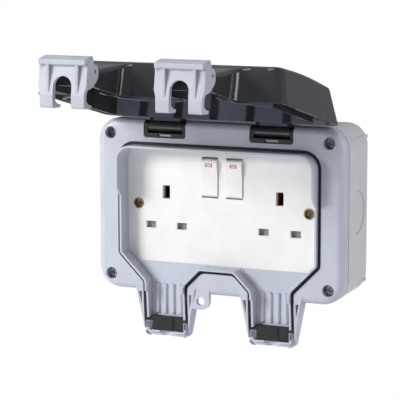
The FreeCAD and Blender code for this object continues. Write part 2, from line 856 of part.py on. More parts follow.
def make_weather_seal():
    """One rubber moulding: the strip in the channel and a cable seal in the end of each spout."""
    body = new_body("weather_seal")
    strip = front_sketch(body, "seal_strip", S.channel_floor)
    outline(strip, opening_corners(S.lip_thick + S.channel_width - S.seal_gap))
    outline(strip, opening_corners(S.lip_thick + S.seal_gap))
    pad(body, strip, S.seal_front - S.channel_floor)
    seat = S.seat_half - S.seal_gap
    blocks = front_sketch(body, "cable_seals", S.spout_floor)
    turns = front_sketch(body, "seal_turns", S.channel_floor)
    for side in (-1, 1):
        centre = S.spout_x * side
        rectangle(blocks, centre - seat, centre + seat,
                  -(S.spout_inner_end - S.seal_gap), -(S.seat_start + S.seal_gap))
        for hand in (-1, 1):
            far = S.spout_inner + S.lip_thick + 0.4
            ends = (centre + (seat - 1.0) * hand, centre + far * hand)
            near, out = sorted(ends, key=lambda size: size.value)
            rectangle(turns, near, out, -(S.channel_end - S.seal_gap),
                      -(S.channel_end - S.channel_width + S.seal_gap))
    pad(body, blocks, S.cable_seal_front - S.spout_floor)
    pad(body, turns, S.cable_seal_front - S.channel_floor)
    bumps = level_sketch(body, "cable_bumps", -(S.spout_inner_end - S.seal_gap))
    for side in (-1, 1):
        circle(bumps, S.spout_x * side, -S.cable_bump_centre, S.cable_bump_radius)
    pad(body, bumps, S.spout_inner_end - S.seat_start - S.seal_gap * 2)
    under = front_sketch(body, "seal_underside", S.spout_floor)
    ends = front_sketch(body, "seal_ends", S.face_depth + 1.0)
    for side in (-1, 1):
        centre = S.spout_x * side
        rectangle(under, centre - seat - 1.0, centre + seat + 1.0, -(S.spout_end + 1.0), -(S.seat_start - 1.0))
        low = -(S.spout_end + 2.0)
        wide = S.spout_inner + S.lip_thick + S.channel_width + 1.0
        outline(ends, [
            (centre - wide, low),
            (centre + wide, low),
            (centre + wide, -(S.channel_end - S.seal_gap)),
            (centre + seat + 0.5, -(S.channel_end - S.seal_gap)),
            (centre + seat + 0.5, -(S.spout_inner_end - S.seal_gap)),
            (centre - seat - 0.5, -(S.spout_inner_end - S.seal_gap)),
            (centre - seat - 0.5, -(S.channel_end - S.seal_gap)),
            (centre - wide, -(S.channel_end - S.seal_gap)),
        ])
    pocket(body, under, S.cable_bump_radius * 2)
    pocket(body, ends, S.face_depth)
    slope_cut(body, "seal_slope", S.seal_front - S.face_depth)
    return body


# Screws

def make_screw(label, head, thick, shank, length, recess):
    """A screw along -Y with its seat at the origin and a cross recess in its head."""
    body = new_body(label)
    face = front_sketch(body, f"{label}_head_outline", 0.0)
    circle(face, 0.0, 0.0, head)
    pad(body, face, thick)
    stem = new_sketch(body, f"{label}_stem", "XZ_Plane", -length)
    circle(stem, 0.0, 0.0, shank)
    pad(body, stem, length)
    cross = front_sketch(body, f"{label}_cross", thick)
    arm = head * 0.55
    half = head * 0.13
    outline(cross, [
        (-arm, -half), (-half, -half), (-half, -arm), (half, -arm), (half, -half), (arm, -half),
        (arm, half), (half, half), (half, arm), (-half, arm), (-half, half), (-arm, half),
    ])
    pocket(body, cross, recess)
    return body


def placed(body, across, depth, height):
    body.Placement = FreeCAD.Placement(Vector(across.value, -depth.value, height.value), FreeCAD.Rotation())
    return body


def make_corner_screws():
    first = make_screw("corner_screw", S.screw_head, S.screw_head_thick, S.screw_shank,
                       S.screw_length, S.screw_head_thick / 2)
    placed(first, S.screw_x, S.screw_seat, S.screw_z)
    second = mirrored("corner_screw_b", first)
    third = mirrored("corner_screw_c", first, (0, 0, 1))
    fourth = mirrored("corner_screw_d", third)
    return group("corner_screws", [first, second, third, fourth])


def group(label, members):
    compound = doc.addObject("Part::Compound", label)
    compound.Label = label
    compound.Links = members
    return compound


def make_faceplate_screws():
    first = make_screw("faceplate_screw", S.fixing_head, S.fixing_head_top - S.fixing_head_seat,
                       S.fixing_shank, S.fixing_length, (S.fixing_head_top - S.fixing_head_seat) / 2)
    placed(first, S.fixing_x, S.fixing_head_seat, as_size(0.0))
    second = mirrored("faceplate_screw_b", first)
    return group("faceplate_screws", [first, second])


def make_bushes():
    body = new_body("fixing_bush")
    tube = front_sketch(body, "bush_tube", S.plate_back)
    circle(tube, S.fixing_x, 0.0, S.bush_radius)
    circle(tube, S.fixing_x, 0.0, S.bush_bore)
    pad(body, tube, S.plate_front - S.plate_back)
    bore = front_sketch(body, "bush_head_bore", S.plate_front)
    circle(bore, S.fixing_x, 0.0, S.bush_head_bore)
    pocket(body, bore, S.plate_front - S.fixing_head_seat)
    return group("fixing_bushes", [body, mirrored("fixing_bush_b", body)])


# Hinge

def make_hinge_bracket():
    body = new_body("hinge_bracket_right")
    centre = S.hinge_x
    half = S.notch_half - S.bracket_gap
    low = S.notch_bottom + S.bracket_gap
    base = front_sketch(body, "bracket_base_outline", S.notch_floor)
    outline(base, [
        (centre - half, low, 1.8), (centre + half, low, 1.8),
        (centre + half, low + S.bracket_base), (centre - half, low + S.bracket_base),
    ])
    pad(body, base, S.face_depth - S.notch_floor)
    for hand, name in ((-1, "bracket_cheek_a"), (1, "bracket_cheek_b")):
        start = centre - half if hand < 0 else centre + half - S.bracket_cheek
        cheek = side_sketch(body, name, start)
        side_outline(cheek, [
            (S.notch_floor, low + 0.5),
            (S.hinge_depth + S.bracket_round, low + 0.5),
            (S.hinge_depth + S.bracket_round, S.hinge_z + S.bracket_round, S.bracket_round - 0.1),
            (S.notch_floor, S.hinge_z + S.bracket_round, S.bracket_round - 0.1),
        ])
        pad(body, cheek, S.bracket_cheek)
    bore = side_sketch(body, "bracket_bore", centre - half)
    circle(bore, -S.hinge_depth, S.hinge_z, S.pin_radius)
    pocket(body, bore, half * 2, toward_normal=True)
    window = front_sketch(body, "bracket_window", S.face_depth)
    middle = low + S.bracket_base / 2
    wide = S.tongue_half + 0.05
    tall = S.tongue_high / 2 + 0.05
    rectangle(window, centre - wide, centre + wide, middle - tall, middle + tall)
    pocket(body, window, S.face_depth)
    return body


def make_hinge_pin():
    body = new_body("hinge_pin_right")
    half = S.notch_half - S.bracket_gap
    sketch = side_sketch(body, "hinge_pin_end", S.hinge_x - half)
    circle(sketch, -S.hinge_depth, S.hinge_z, S.pin_radius)
    pad(body, sketch, half * 2)
    return body


# Lid

def lid_corners(rise, inset):
    """The lid's outline at a distance in front of its rim, moved inwards."""
    side = S.lid_draft * rise + inset
    narrow = S.leg_draft * rise + inset * (S.leg_wall / S.lid_wall)
    slant = S.root_slant + inset * (2 - math.sqrt(2))
    top = S.lid_top - side
    half = S.lid_half - side
    low = S.lid_bottom - side
    outer = S.spout_x + S.leg_half - narrow
    inner = S.spout_x - S.leg_half + narrow
    end = S.leg_end - narrow
    return both_sides([
        (half, top, S.lid_corner_top - inset),
        (half, -low, S.lid_corner_bottom - inset),
        (outer, -low, S.leg_round + inset),
        (outer, -end, S.leg_corner - inset * 0.8),
        (inner, -end, S.leg_corner - inset * 0.8),
        (inner, -(low + slant), S.root_round + inset),
        (inner - slant, -low, S.root_round + inset),
    ])


def trim_front(body, name, inset):
    """Cuts away what stands in front of the lid's domed hood and sloping legs."""
    far = S.lid_front + S.lid_half
    sketch = side_sketch(body, name, -(S.lid_half + 1.0))
    side_outline(sketch, [
        (S.lid_front_edge - inset, S.lid_top + 2.0),
        (S.lid_front - inset, 2.0, 500.0),
        (S.hood_edge_depth - inset, -S.hood_edge, 8.0),
        (S.leg_top_depth - inset, -S.leg_top, 8.0),
        (S.leg_bend_depth - inset, -S.leg_bend, 40.0),
        (S.leg_tip_depth - inset, -(S.leg_end + 4.0)),
        (far, -(S.leg_end + 4.0)),
        (far, S.lid_top + 2.0),
    ])
    pocket(body, sketch, S.lid_half * 2 + 2.0, toward_normal=True)


def make_lid_form(label, inset, low):
    """The lid's outer form, or the hollow inside it when moved inwards by the wall."""
    body = new_body(label)
    rise = S.lid_front + 1.0 - S.rim_depth
    rim = front_sketch(body, f"{label}_rim", low)
    outline(rim, lid_corners(low - S.rim_depth, inset))
    top = front_sketch(body, f"{label}_top", S.lid_front + 1.0)
    outline(top, lid_corners(rise, inset))
    loft(body, "PartDesign::AdditiveLoft", rim, top)
    trim_front(body, f"{label}_front", inset)
    return body


def on_lid_front(edge):
    """Picks the edges where the lid's front meets its sides, and not the bends across it."""
    front = edge.BoundBox.YMax < -(S.leg_tip_depth.value - S.lid_edge_round.value)
    return front and edge.Curve.TypeId != "Part::GeomLine"


def make_lid():
    outer = make_lid_form("lid_outer", as_size(0.0), S.rim_depth)
    fillet(outer, "lid_front_round", S.lid_edge_round, on_lid_front)
    core = make_lid_form("lid_core", S.lid_wall, S.rim_depth - 1.0)
    rib = new_body("lid_rib")
    ring = front_sketch(rib, "rib_ring", S.spout_floor)
    outline(ring, opening_corners(S.rib_inner + S.rib_thick))
    outline(ring, opening_corners(S.rib_inner))
    pad(rib, ring, S.lid_front - S.spout_floor)
    trim_front(rib, "rib_front", as_size(1.0))
    tip = side_sketch(rib, "rib_tip_profile", -S.lid_half)
    lift = S.rib_tip - S.face_depth
    side_outline(tip, [
        (S.rib_tip, S.lid_top),
        (S.rib_tip, -S.casing_height / 2),
        (S.spout_tip_depth + lift, -S.spout_end),
        (S.spout_tip_depth + lift, -(S.spout_end + 4.0)),
        (S.spout_floor - 1.0, -(S.spout_end + 4.0)),
        (S.spout_floor - 1.0, S.lid_top),
    ])
    pocket(rib, tip, S.lid_half * 2, toward_normal=True)
    ends = front_sketch(rib, "rib_ends", S.lid_front + 1.0)
    rectangle(ends, -S.lid_half, S.lid_half, -(S.leg_end + 1.0), -(S.channel_end - 0.3))
    pocket(rib, ends, S.lid_front)
    limit = make_lid_form("rib_limit", S.rib_cover, S.rib_tip - 1.0)
    inner_rib = doc.addObject("Part::Common", "lid_inner_rib")
    inner_rib.Base = rib
    inner_rib.Tool = limit
    knuckles = make_knuckles()
    ears = make_ears()
    shell = doc.addObject("Part::Cut", "lid_shell")
    shell.Base = outer
    shell.Tool = core
    joined = doc.addObject("Part::MultiFuse", "lid_moulding")
    joined.Shapes = [shell, inner_rib, knuckles, ears]
    joined.Refine = False
    recess = make_cheek_recess()
    lid = doc.addObject("Part::Cut", "lid")
    lid.Label = "lid"
    lid.Base = joined
    lid.Tool = recess
    doc.recompute()
    lid.Placement = swing_open()
    return lid


def make_knuckles():
    """The hinge barrels and the arms that carry the lid on them."""
    body = new_body("lid_knuckles")
    half = S.notch_half - S.bracket_gap - S.bracket_cheek - S.barrel_gap
    for side, name in ((-1, "left"), (1, "right")):
        start = S.hinge_x * side - half
        arm = side_sketch(body, f"hinge_arm_{name}", start)
        side_outline(arm, [
            (S.hinge_depth, S.arm_bottom),
            (S.rim_depth + 3.0, S.arm_bottom),
            (S.rim_depth + 3.0, S.arm_top - S.lid_draft * 3.0),
            (S.rim_depth, S.arm_top),
            (S.hinge_depth, S.arm_top),
        ])
        pad(body, arm, half * 2)
        barrel = side_sketch(body, f"hinge_barrel_{name}", start)
        circle(barrel, -S.hinge_depth, S.hinge_z, S.barrel_radius)
        pad(body, barrel, half * 2)
        bore = side_sketch(body, f"hinge_bore_{name}", start)
        circle(bore, -S.hinge_depth, S.hinge_z, S.pin_radius + S.pin_running)
        pocket(body, bore, half * 2, toward_normal=True)
    return body


def make_ears():
    """Two ears inside the end of each leg, which carry the clip's pin."""
    body = new_body("lid_ears")
    for side in (-1, 1):
        for hand in (-1, 1):
            name = f"{'left' if side < 0 else 'right'}_{'a' if hand < 0 else 'b'}"
            ends = (S.spout_x * side + S.ear_inner * hand, S.spout_x * side + S.ear_outer * hand)
            start = min(ends, key=lambda size: size.value)
            ear = side_sketch(body, f"ear_{name}", start)
            radius = S.ear_radius
            side_outline(ear, [
                (S.clip_pivot_depth - radius, -S.ear_start),
                (S.clip_pivot_depth - radius, -(S.clip_pivot_z + radius), radius - 0.1),
                (S.clip_pivot_depth + radius - 0.6, -(S.clip_pivot_z + radius), radius - 0.9),
                (S.clip_pivot_depth + radius - 0.6, -S.ear_start),
            ])
            pad(body, ear, S.ear_outer - S.ear_inner)
    for side, name in ((-1, "left"), (1, "right")):
        bore = side_sketch(body, f"ear_bore_{name}", S.spout_x * side - S.leg_half)
        circle(bore, -S.clip_pivot_depth, -S.clip_pivot_z, S.clip_pin_radius)
        pocket(body, bore, S.leg_half * 2, toward_normal=True)
    return body


def make_cheek_recess():
    """The room beside each leg's end for the cheeks of the clip, and the pin's hole."""
    body = new_body("cheek_recess")
    for side in (-1, 1):
        for hand in (-1, 1):
            name = f"{'left' if side < 0 else 'right'}_{'a' if hand < 0 else 'b'}"
            inner = S.spout_x * side + S.ear_outer * hand
            far = S.spout_x * side + (S.leg_half + 1.0) * hand
            start = min((inner, far), key=lambda size: size.value)
            room = side_sketch(body, f"recess_{name}", start)
            reach = S.cheek_radius + 0.4
            side_outline(room, [
                (S.clip_pivot_depth - reach, -(S.clip_pivot_z - reach), reach - 0.1),
                (S.clip_pivot_depth - reach, -(S.leg_end + 4.0)),
                (S.clip_pivot_depth + reach + 4.0, -(S.leg_end + 4.0)),
                (S.clip_pivot_depth + reach + 4.0, -(S.clip_pivot_z - reach)),
            ])
            pad(body, room, S.leg_half + 1.0 - S.ear_outer)
    for side, name in ((-1, "left"), (1, "right")):
        bore = side_sketch(body, f"pin_hole_{name}", S.spout_x * side - S.leg_half)
        circle(bore, -S.clip_pivot_depth, -S.clip_pivot_z, S.clip_pin_radius)
        pad(body, bore, S.leg_half * 2)
    return body


def swing_open():
    """From the closed place to the open one in the photograph, about the hinge."""
    axis = Vector(0, -S.hinge_depth.value, S.hinge_z.value)
    turn = FreeCAD.Rotation(Vector(1, 0, 0), -S.open_angle.value)
    return FreeCAD.Placement(Vector(0, 0, 0), turn, axis)


# Clips

def make_clip():
    """One catch, drawn from its pin: depth in front of the pin and height above it."""
    body = new_body("clip_right")
    half = S.clip_half
    shell = side_sketch(body, "clip_shell", -half)
    side_outline(shell, [
        (2.0, -12.0, 1.2),
        (-7.0, -10.6, 4.0),
        (-18.0, -11.6, 6.0),
        (-22.6, -11.4, 1.6),
        (-22.6, -2.8, 0.8),
        (-20.4, -2.0, 0.5),
        (-19.6, -6.2, 1.0),
        (-17.6, -9.0, 1.6),
        (-5.0, -8.0, 3.0),
        (2.0, -8.6, 2.0),
        (6.6, -4.4, 3.0),
        (7.2, -1.6, 0.4),
        (9.2, -1.4, 0.6),
        (9.6, -5.6, 4.0),
        (5.4, -11.8, 3.0),
    ])
    pad(body, shell, half * 2)
    for hand, name in ((-1, "clip_cheek_a"), (1, "clip_cheek_b")):
        start = -half if hand < 0 else half - S.clip_cheek
        cheek = side_sketch(body, name, start)
        radius = S.cheek_radius
        side_outline(cheek, [
            (-radius, radius, radius - 0.1),
            (-radius, -9.4),
            (4.0, -10.6),
            (8.4, -4.6),
            (8.4, -2.0, 0.6),
            (4.6, -1.8, 0.6),
            (radius, radius, radius - 0.1),
        ])
        pad(body, cheek, S.clip_cheek)
    bore = side_sketch(body, "clip_bore", -half)
    circle(bore, 0.0, 0.0, S.clip_pin_radius + S.pin_running)
    pocket(body, bore, half * 2, toward_normal=True)
    cut_clip_arch(body)
    cut_clip_sides(body)
    body.Placement = clip_rest()
    return body


def cut_clip_arch(body):
    """The arched way for the cable between the two hooked legs."""
    arch = new_sketch(body, "clip_arch_outline", "XY_Plane", -14.0)
    outline(arch, [
        (-S.arch_half, 4.6, S.arch_half - 0.1),
        (S.arch_half, 4.6, S.arch_half - 0.1),
        (S.arch_half, 26.0),
        (-S.arch_half, 26.0),
    ])
    pocket(body, arch, 16.0, toward_normal=True)


def cut_clip_sides(body):
    """The legs are narrower than the plate above them, and each has a V-shaped recess."""
    sides = new_sketch(body, "clip_side_relief", "XY_Plane", -14.0)
    for hand in (-1, 1):
        outline(sides, [
            (S.clip_half * hand + 1.0 * hand, 6.0),
            (S.clip_half * hand - 1.5 * hand, 12.0),
            (S.clip_half * hand - 1.5 * hand, 26.0),
            (S.clip_half * hand + 1.0 * hand, 26.0),
        ])
    pocket(body, sides, 16.0, toward_normal=True)
    vees = new_sketch(body, "clip_vees", "XY_Plane", -14.0)
    for hand in (-1, 1):
        outline(vees, [
            (7.4 * hand, 4.6, 0.6),
            (12.6 * hand, 4.6, 0.6),
            (10.0 * hand, 15.0, 0.5),
        ])
    pocket(body, vees, 4.6, toward_normal=True)


def clip_rest():
    """From the pin's own place to the closed lid, turned to the catch, then swung open with the lid."""
    pin = Vector(S.spout_x.value, -S.clip_pivot_depth.value, -S.clip_pivot_z.value)
    turned = FreeCAD.Placement(pin, FreeCAD.Rotation(Vector(1, 0, 0), S.clip_angle.value))
    return swing_open().multiply(turned)


def make_clip_pin():
    body = new_body("clip_pin_right")
    sketch = side_sketch(body, "clip_pin_end", S.spout_x - S.clip_half)
    circle(sketch, -S.clip_pivot_depth, -S.clip_pivot_z, S.clip_pin_radius)
    pad(body, sketch, S.clip_half * 2)
    body.Placement = swing_open()
    return body


# Faceplate

def make_faceplate():
    body = new_body("socket_faceplate")
    edge = front_sketch(body, "plate_outline", S.plate_back)
    rectangle(edge, -S.plate_half_width, S.plate_half_width,
              -S.plate_half_height, S.plate_half_height, S.plate_corner)
    pad(body, edge, S.plate_front - S.plate_back)
    inside = front_sketch(body, "plate_inside", S.plate_front - S.plate_wall)
    rectangle(inside, -(S.plate_half_width - S.plate_wall), S.plate_half_width - S.plate_wall,
              -(S.plate_half_height - S.plate_wall), S.plate_half_height - S.plate_wall,
              S.plate_corner - S.plate_wall)
    pocket(body, inside, S.plate_front)
    bosses = front_sketch(body, "plate_bosses", S.plate_back)
    for side in (-1, 1):
        circle(bosses, S.fixing_x * side, 0.0, S.plate_boss)
    pad(body, bosses, S.plate_front - 1.0 - S.plate_back)
    stubs = front_sketch(body, "base_screw_stubs", S.plate_back + 0.6)
    for across, height in base_screw_places():
        circle(stubs, across, height, S.base_screw_shank * 2)
    pad(body, stubs, S.plate_front - S.plate_back - 2.0)
    taps = front_sketch(body, "base_screw_taps", S.plate_back - 0.5)
    for across, height in base_screw_places():
        circle(taps, across, height, S.base_screw_shank + S.screw_clearance)
    pocket(body, taps, 5.0, toward_normal=True)
    bores = front_sketch(body, "bush_holes", S.plate_front)
    for side in (-1, 1):
        circle(bores, S.fixing_x * side, 0.0, S.bush_radius + S.bush_gap)
    pocket(body, bores, S.plate_front)
    slots = front_sketch(body, "plate_slots", S.plate_front)
    windows = front_sketch(body, "rocker_windows", S.plate_front)
    for side in (-1, 1):
        centre = S.outlet_x * side
        for hand in (-1, 1):
            middle = centre + S.pin_x * hand
            rectangle(slots, middle - S.pin_slot_width / 2, middle + S.pin_slot_width / 2,
                      -(S.pin_z + S.pin_slot_high / 2), -(S.pin_z - S.pin_slot_high / 2))
        rectangle(slots, centre - S.earth_slot_width / 2, centre + S.earth_slot_width / 2,
                  S.earth_z - S.earth_slot_high / 2, S.earth_z + S.earth_slot_high / 2)
        half = S.rocker_half_width + S.window_gap
        rectangle(windows, S.rocker_x * side - half, S.rocker_x * side + half,
                  S.rocker_z - S.window_half_high, S.rocker_z + S.window_half_high, 0.4)
    pocket(body, slots, S.plate_wall + 1.0)
    pocket(body, windows, S.plate_wall + 1.0)
    return body


def base_screw_places():
    return [(S.base_screw_x, S.base_screw_z), (-S.base_screw_x, S.base_screw_z), (0.0, -S.base_screw_low)]


# Base and contacts

def make_base():
    body = new_body("socket_base")
    front = S.plate_front - S.plate_wall
    block = front_sketch(body, "base_block", S.base_back)
    rectangle(block, -S.base_half_width, S.base_half_width, -S.base_bottom, S.base_top, 3.0)
    pad(body, block, front - S.base_back)
    beds = front_sketch(body, "shutter_beds", front)
    wells = front_sketch(body, "contact_wells", front)
    switch = front_sketch(body, "switch_wells", front)
    bearings = front_sketch(body, "trunnion_beds", front)
    for side in (-1, 1):
        centre = S.outlet_x * side
        half = S.shutter_half + S.shutter_gap
        rectangle(beds, centre - half, centre + half, -S.shutter_low, -(S.shutter_bar_top - 1.0))
        for hand in (-1, 1):
            well_outline(wells, centre + S.pin_x * hand, -S.pin_z, S.live_mouth_width, S.live_mouth_high)
        well_outline(wells, centre, S.earth_z, S.earth_mouth_width, S.earth_mouth_high)
        middle = S.rocker_x * side
        half = S.rocker_half_width + S.window_gap
        high = S.window_half_high + 0.8
        rectangle(switch, middle - half, middle + half, S.rocker_z - high, S.rocker_z + high)
        reach = half + S.trunnion_length - 0.1
        bed = S.trunnion_radius + S.pin_running
        rectangle(bearings, middle - reach, middle + reach, S.rocker_z - bed, S.rocker_z + bed)
    pocket(body, beds, front - S.shutter_floor)
    pocket(body, wells, front)
    pocket(body, switch, front)
    pocket(body, bearings, front - S.rocker_axis_depth + S.trunnion_radius + S.pin_running)
    stems = front_sketch(body, "stem_beds", front)
    for side in (-1, 1):
        half = S.shutter_stem + S.shutter_gap
        centre = S.outlet_x * side
        rectangle(stems, centre - half, centre + half, -(S.shutter_bar_top + 1.0), S.shutter_high)
    pocket(body, stems, front - S.shutter_floor)
    sockets = front_sketch(body, "stub_sockets", front)
    holes = front_sketch(body, "base_screw_holes", front)
    for across, height in base_screw_places():
        circle(sockets, across, height, S.base_screw_shank * 2 + 0.2)
        circle(holes, across, height, S.base_screw_shank + S.screw_clearance * 2)
    pocket(body, sockets, front - S.plate_back - 0.4)
    pocket(body, holes, front)
    return body


def well_outline(sketch, across, height, wide, high):
    """Room for a sleeve round a mouth of the given size."""
    grow = S.sleeve_wall + S.sleeve_gap
    rectangle(sketch, across - wide / 2 - grow, across + wide / 2 + grow,
              height - high / 2 - grow, height + high / 2 + grow)


def add_sleeve(body, name, across, height, wide, high, back, front):
    """A square tube of brass that grips one pin."""
    tube = front_sketch(body, name, back)
    wall = S.sleeve_wall
    rectangle(tube, across - wide / 2 - wall, across + wide / 2 + wall,
              height - high / 2 - wall, height + high / 2 + wall)
    rectangle(tube, across - wide / 2, across + wide / 2, height - high / 2, height + high / 2)
    pad(body, tube, front - back)


def make_line_contact(label, side):
    """Live sleeve, strip and the fixed contact under the switch arm."""
    body = new_body(label)
    across = S.outlet_x * side + S.pin_x
    layer = S.base_back - S.strip_thick
    strip = front_sketch(body, f"{label}_strip", layer)
    half = S.strip_width / 2
    post = S.rocker_x * side
    low = -(S.pin_z + S.live_mouth_high / 2 + S.sleeve_wall)
    corners = [
        (across + half * side, low),
        (across + half * side, S.riser_z + half),
        (post - half * side, S.riser_z + half),
        (post - half * side, S.riser_z - half),
        (across - half * side, S.riser_z - half),
        (across - half * side, low),
    ]
    outline(strip, corners)
    pad(body, strip, S.strip_thick)
    add_sleeve(body, f"{label}_sleeve", across, -S.pin_z, S.live_mouth_width, S.live_mouth_high,
               layer, S.sleeve_front_live)
    riser = front_sketch(body, f"{label}_riser", layer)
    rectangle(riser, post - half, post + half, S.riser_z - 1.0, S.riser_z + 0.4)
    drop = S.arm_half_length * math.sin(math.radians(S.arm_tilt.value))
    pad(body, riser, S.arm_pivot_depth - drop - 0.25 - layer)
    return body


def make_deep_bar(label, height, places, wide, high, front, bar_height):
    """A strip in the rear layer with a sleeve at each of its two places and a terminal block."""
    body = new_body(label)
    layer = S.base_back - S.strip_thick * 2 - S.strip_drop
    half = S.strip_width / 2
    strip = front_sketch(body, f"{label}_strip", layer)
    wall = S.sleeve_wall
    left, right = places
    low, top = sorted((bar_height - half, bar_height + half), key=lambda size: size.value)
    outline(strip, [
        (left - half, height), (left - half, low), (right + half, low), (right + half, height),
        (right - half, height), (right - half, top), (left + half, top), (left + half, height),
    ] if height.value > top.value else [
        (left - half, height), (left - half, top), (right + half, top), (right + half, height),
        (right - half, height), (right - half, low), (left + half, low), (left + half, height),
    ])
    pad(body, strip, S.strip_thick)
    for number, across in enumerate(places):
        add_sleeve(body, f"{label}_sleeve_{number}", across, height, wide, high, layer, front)
    add_terminal(body, label, as_size(0.0), bar_height, layer)
    return body


def add_terminal(body, label, across, height, layer):
    half = S.terminal_half
    block = front_sketch(body, f"{label}_terminal", layer - S.terminal_deep)
    rectangle(block, across - half, across + half, height - half, height + half)
    pad(body, block, S.terminal_deep)
    hole = front_sketch(body, f"{label}_terminal_hole", layer - S.terminal_deep)
    circle(hole, across, height, S.terminal_screw + S.screw_clearance)
    pocket(body, hole, S.terminal_deep * 0.6, toward_normal=True)


def make_supply_bar():
    """The live strip with a knife edge under each switch arm."""
    body = new_body("supply_bar")
    layer = S.base_back - S.strip_thick
    half = S.strip_width / 2
    strip = front_sketch(body, "supply_strip", layer)
    reach = S.rocker_x + half
    rectangle(strip, -reach, reach, S.rocker_z - half, S.rocker_z + half)
    pad(body, strip, S.strip_thick)
    for side, name in ((-1, "left"), (1, "right")):
        post = side_sketch(body, f"knife_{name}", S.rocker_x * side - half)
        side_outline(post, [
            (layer, S.rocker_z - 0.8),
            (S.arm_pivot_depth - 1.5, S.rocker_z - 0.8),
            (S.arm_pivot_depth - 0.2, S.rocker_z),
            (S.arm_pivot_depth - 1.5, S.rocker_z + 0.8),
            (layer, S.rocker_z + 0.8),
        ])
        pad(body, post, half * 2)
    add_terminal(body, "supply", as_size(0.0), S.rocker_z, layer)
    return body


def make_switch_arm():
    body = new_body("switch_arm_right")
    half = S.arm_half_width
    strip = side_sketch(body, "arm_section", -half)
    side_outline(strip, [
        (0.0, -S.arm_half_length), (0.0, S.arm_half_length),
        (S.arm_thick, S.arm_half_length), (S.arm_thick, -S.arm_half_length),
    ])
    pad(body, strip, half * 2)
    place = Vector(S.rocker_x.value, -S.arm_pivot_depth.value, S.rocker_z.value)
    turn = FreeCAD.Rotation(Vector(1, 0, 0), -S.arm_tilt.value)
    body.Placement = FreeCAD.Placement(place, turn)
    return body


def make_rocker():
    """Drawn level about its trunnions, then tilted to the on position."""
    body = new_body("rocker_right")
    half = S.rocker_half_width
    high = S.rocker_half_high
    bevel = S.rocker_bevel
    foot = S.rocker_axis_depth * 0 - 1.5
    section = side_sketch(body, "rocker_section", -half)
    side_outline(section, [
        (S.rocker_valley, 0.0),
        (S.rocker_end, high - bevel),
        (S.rocker_end - bevel, high),
        (foot, high + 0.4),
        (foot - 1.5, high - 1.2),
        (foot - 1.5, 2.4),
        (-S.nib_length, 0.9, 0.6),
        (-S.nib_length, -0.9, 0.6),
        (foot - 1.5, -2.4),
        (foot - 1.5, -(high - 1.2)),
        (foot, -(high + 0.4)),
        (S.rocker_end - bevel, -high),
        (S.rocker_end, -(high - bevel)),
    ])
    pad(body, section, half * 2)
    reach = half + S.trunnion_length
    trunnion = side_sketch(body, "trunnion", -reach)
    circle(trunnion, 0.0, 0.0, S.trunnion_radius)
    pad(body, trunnion, reach * 2)
    place = Vector(S.rocker_x.value, -S.rocker_axis_depth.value, S.rocker_z.value)
    turn = FreeCAD.Rotation(Vector(1, 0, 0), S.rocker_throw.value / 2)
    body.Placement = FreeCAD.Placement(place, turn)
    return body


def make_shutter():
    body = new_body("shutter_right")
    gap = S.shutter_gap
    centre = S.outlet_x
    plate = front_sketch(body, "shutter_plate", S.shutter_floor + gap)
    outline(plate, [
        (centre - S.shutter_half, -S.shutter_bar_bottom),
        (centre + S.shutter_half, -S.shutter_bar_bottom),
        (centre + S.shutter_half, -S.shutter_bar_top),
        (centre + S.shutter_stem, -S.shutter_bar_top),
        (centre + S.shutter_stem, S.shutter_high - gap),
        (centre - S.shutter_stem, S.shutter_high - gap),
        (centre - S.shutter_stem, -S.shutter_bar_top),
        (centre - S.shutter_half, -S.shutter_bar_top),
    ])
    pad(body, plate, S.plate_front - S.plate_wall - S.shutter_floor - gap * 2)
    return body


def make_shutter_spring():
    """A small coil spring under the shutter, along Z."""
    gap = 0.05
    low = -(S.shutter_low.value - gap)
    high = -(S.shutter_bar_bottom.value + gap)
    wire = S.spring_wire.value
    coil = S.spring_coil.value
    length = high - low - wire * 2
    path = Part.makeHelix(length / S.spring_turns.value, length, coil)
    ring = Part.Wire([Part.makeCircle(wire, Vector(coil, 0, 0), Vector(0, 1, 0))])
    spring = Part.Wire(path).makePipeShell([ring], True, True)
    depth = (S.shutter_floor.value + S.plate_front.value - S.plate_wall.value) / 2
    feature = doc.addObject("Part::Feature", "shutter_spring_right")
    feature.Shape = spring
    feature.Placement = FreeCAD.Placement(Vector(S.outlet_x.value, -depth, low + wire), FreeCAD.Rotation())
    return feature


def make_terminal_screws():
    deep = S.base_back - S.strip_thick * 2 - S.strip_drop
    flat = S.base_back - S.strip_thick
    heights = ((-(S.pin_z + 5.0), deep), (S.earth_z - 8.0, deep), (S.rocker_z, flat))
    made = []
    for number, (height, layer) in enumerate(heights):
        body = new_body(f"terminal_screw_{number}")
        start = layer - S.terminal_deep
        sketch = front_sketch(body, f"terminal_screw_end_{number}", start)
        circle(sketch, 0.0, height, S.terminal_screw)
        pad(body, sketch, S.terminal_deep * 0.5)
        slot = front_sketch(body, f"terminal_screw_slot_{number}", start)
        rectangle(slot, -S.terminal_screw * 2, S.terminal_screw * 2, height - 0.35, height + 0.35)
        pocket(body, slot, 0.8, toward_normal=True)
        made.append(body)
    return group("terminal_screws", made)


def make_base_screws():
    made = []
    for number, (across, height) in enumerate(base_screw_places()):
        body = new_body(f"base_screw_{number}")
        head = front_sketch(body, f"base_screw_head_{number}", S.base_back - 1.6)
        circle(head, across, height, S.base_screw_head)
        pad(body, head, 1.6)
        stem = front_sketch(body, f"base_screw_stem_{number}", S.base_back - 0.5)
        circle(stem, across, height, S.base_screw_shank)
        pad(body, stem, S.plate_back + 3.0 - S.base_back)
        made.append(body)
    return group("base_screws", made)


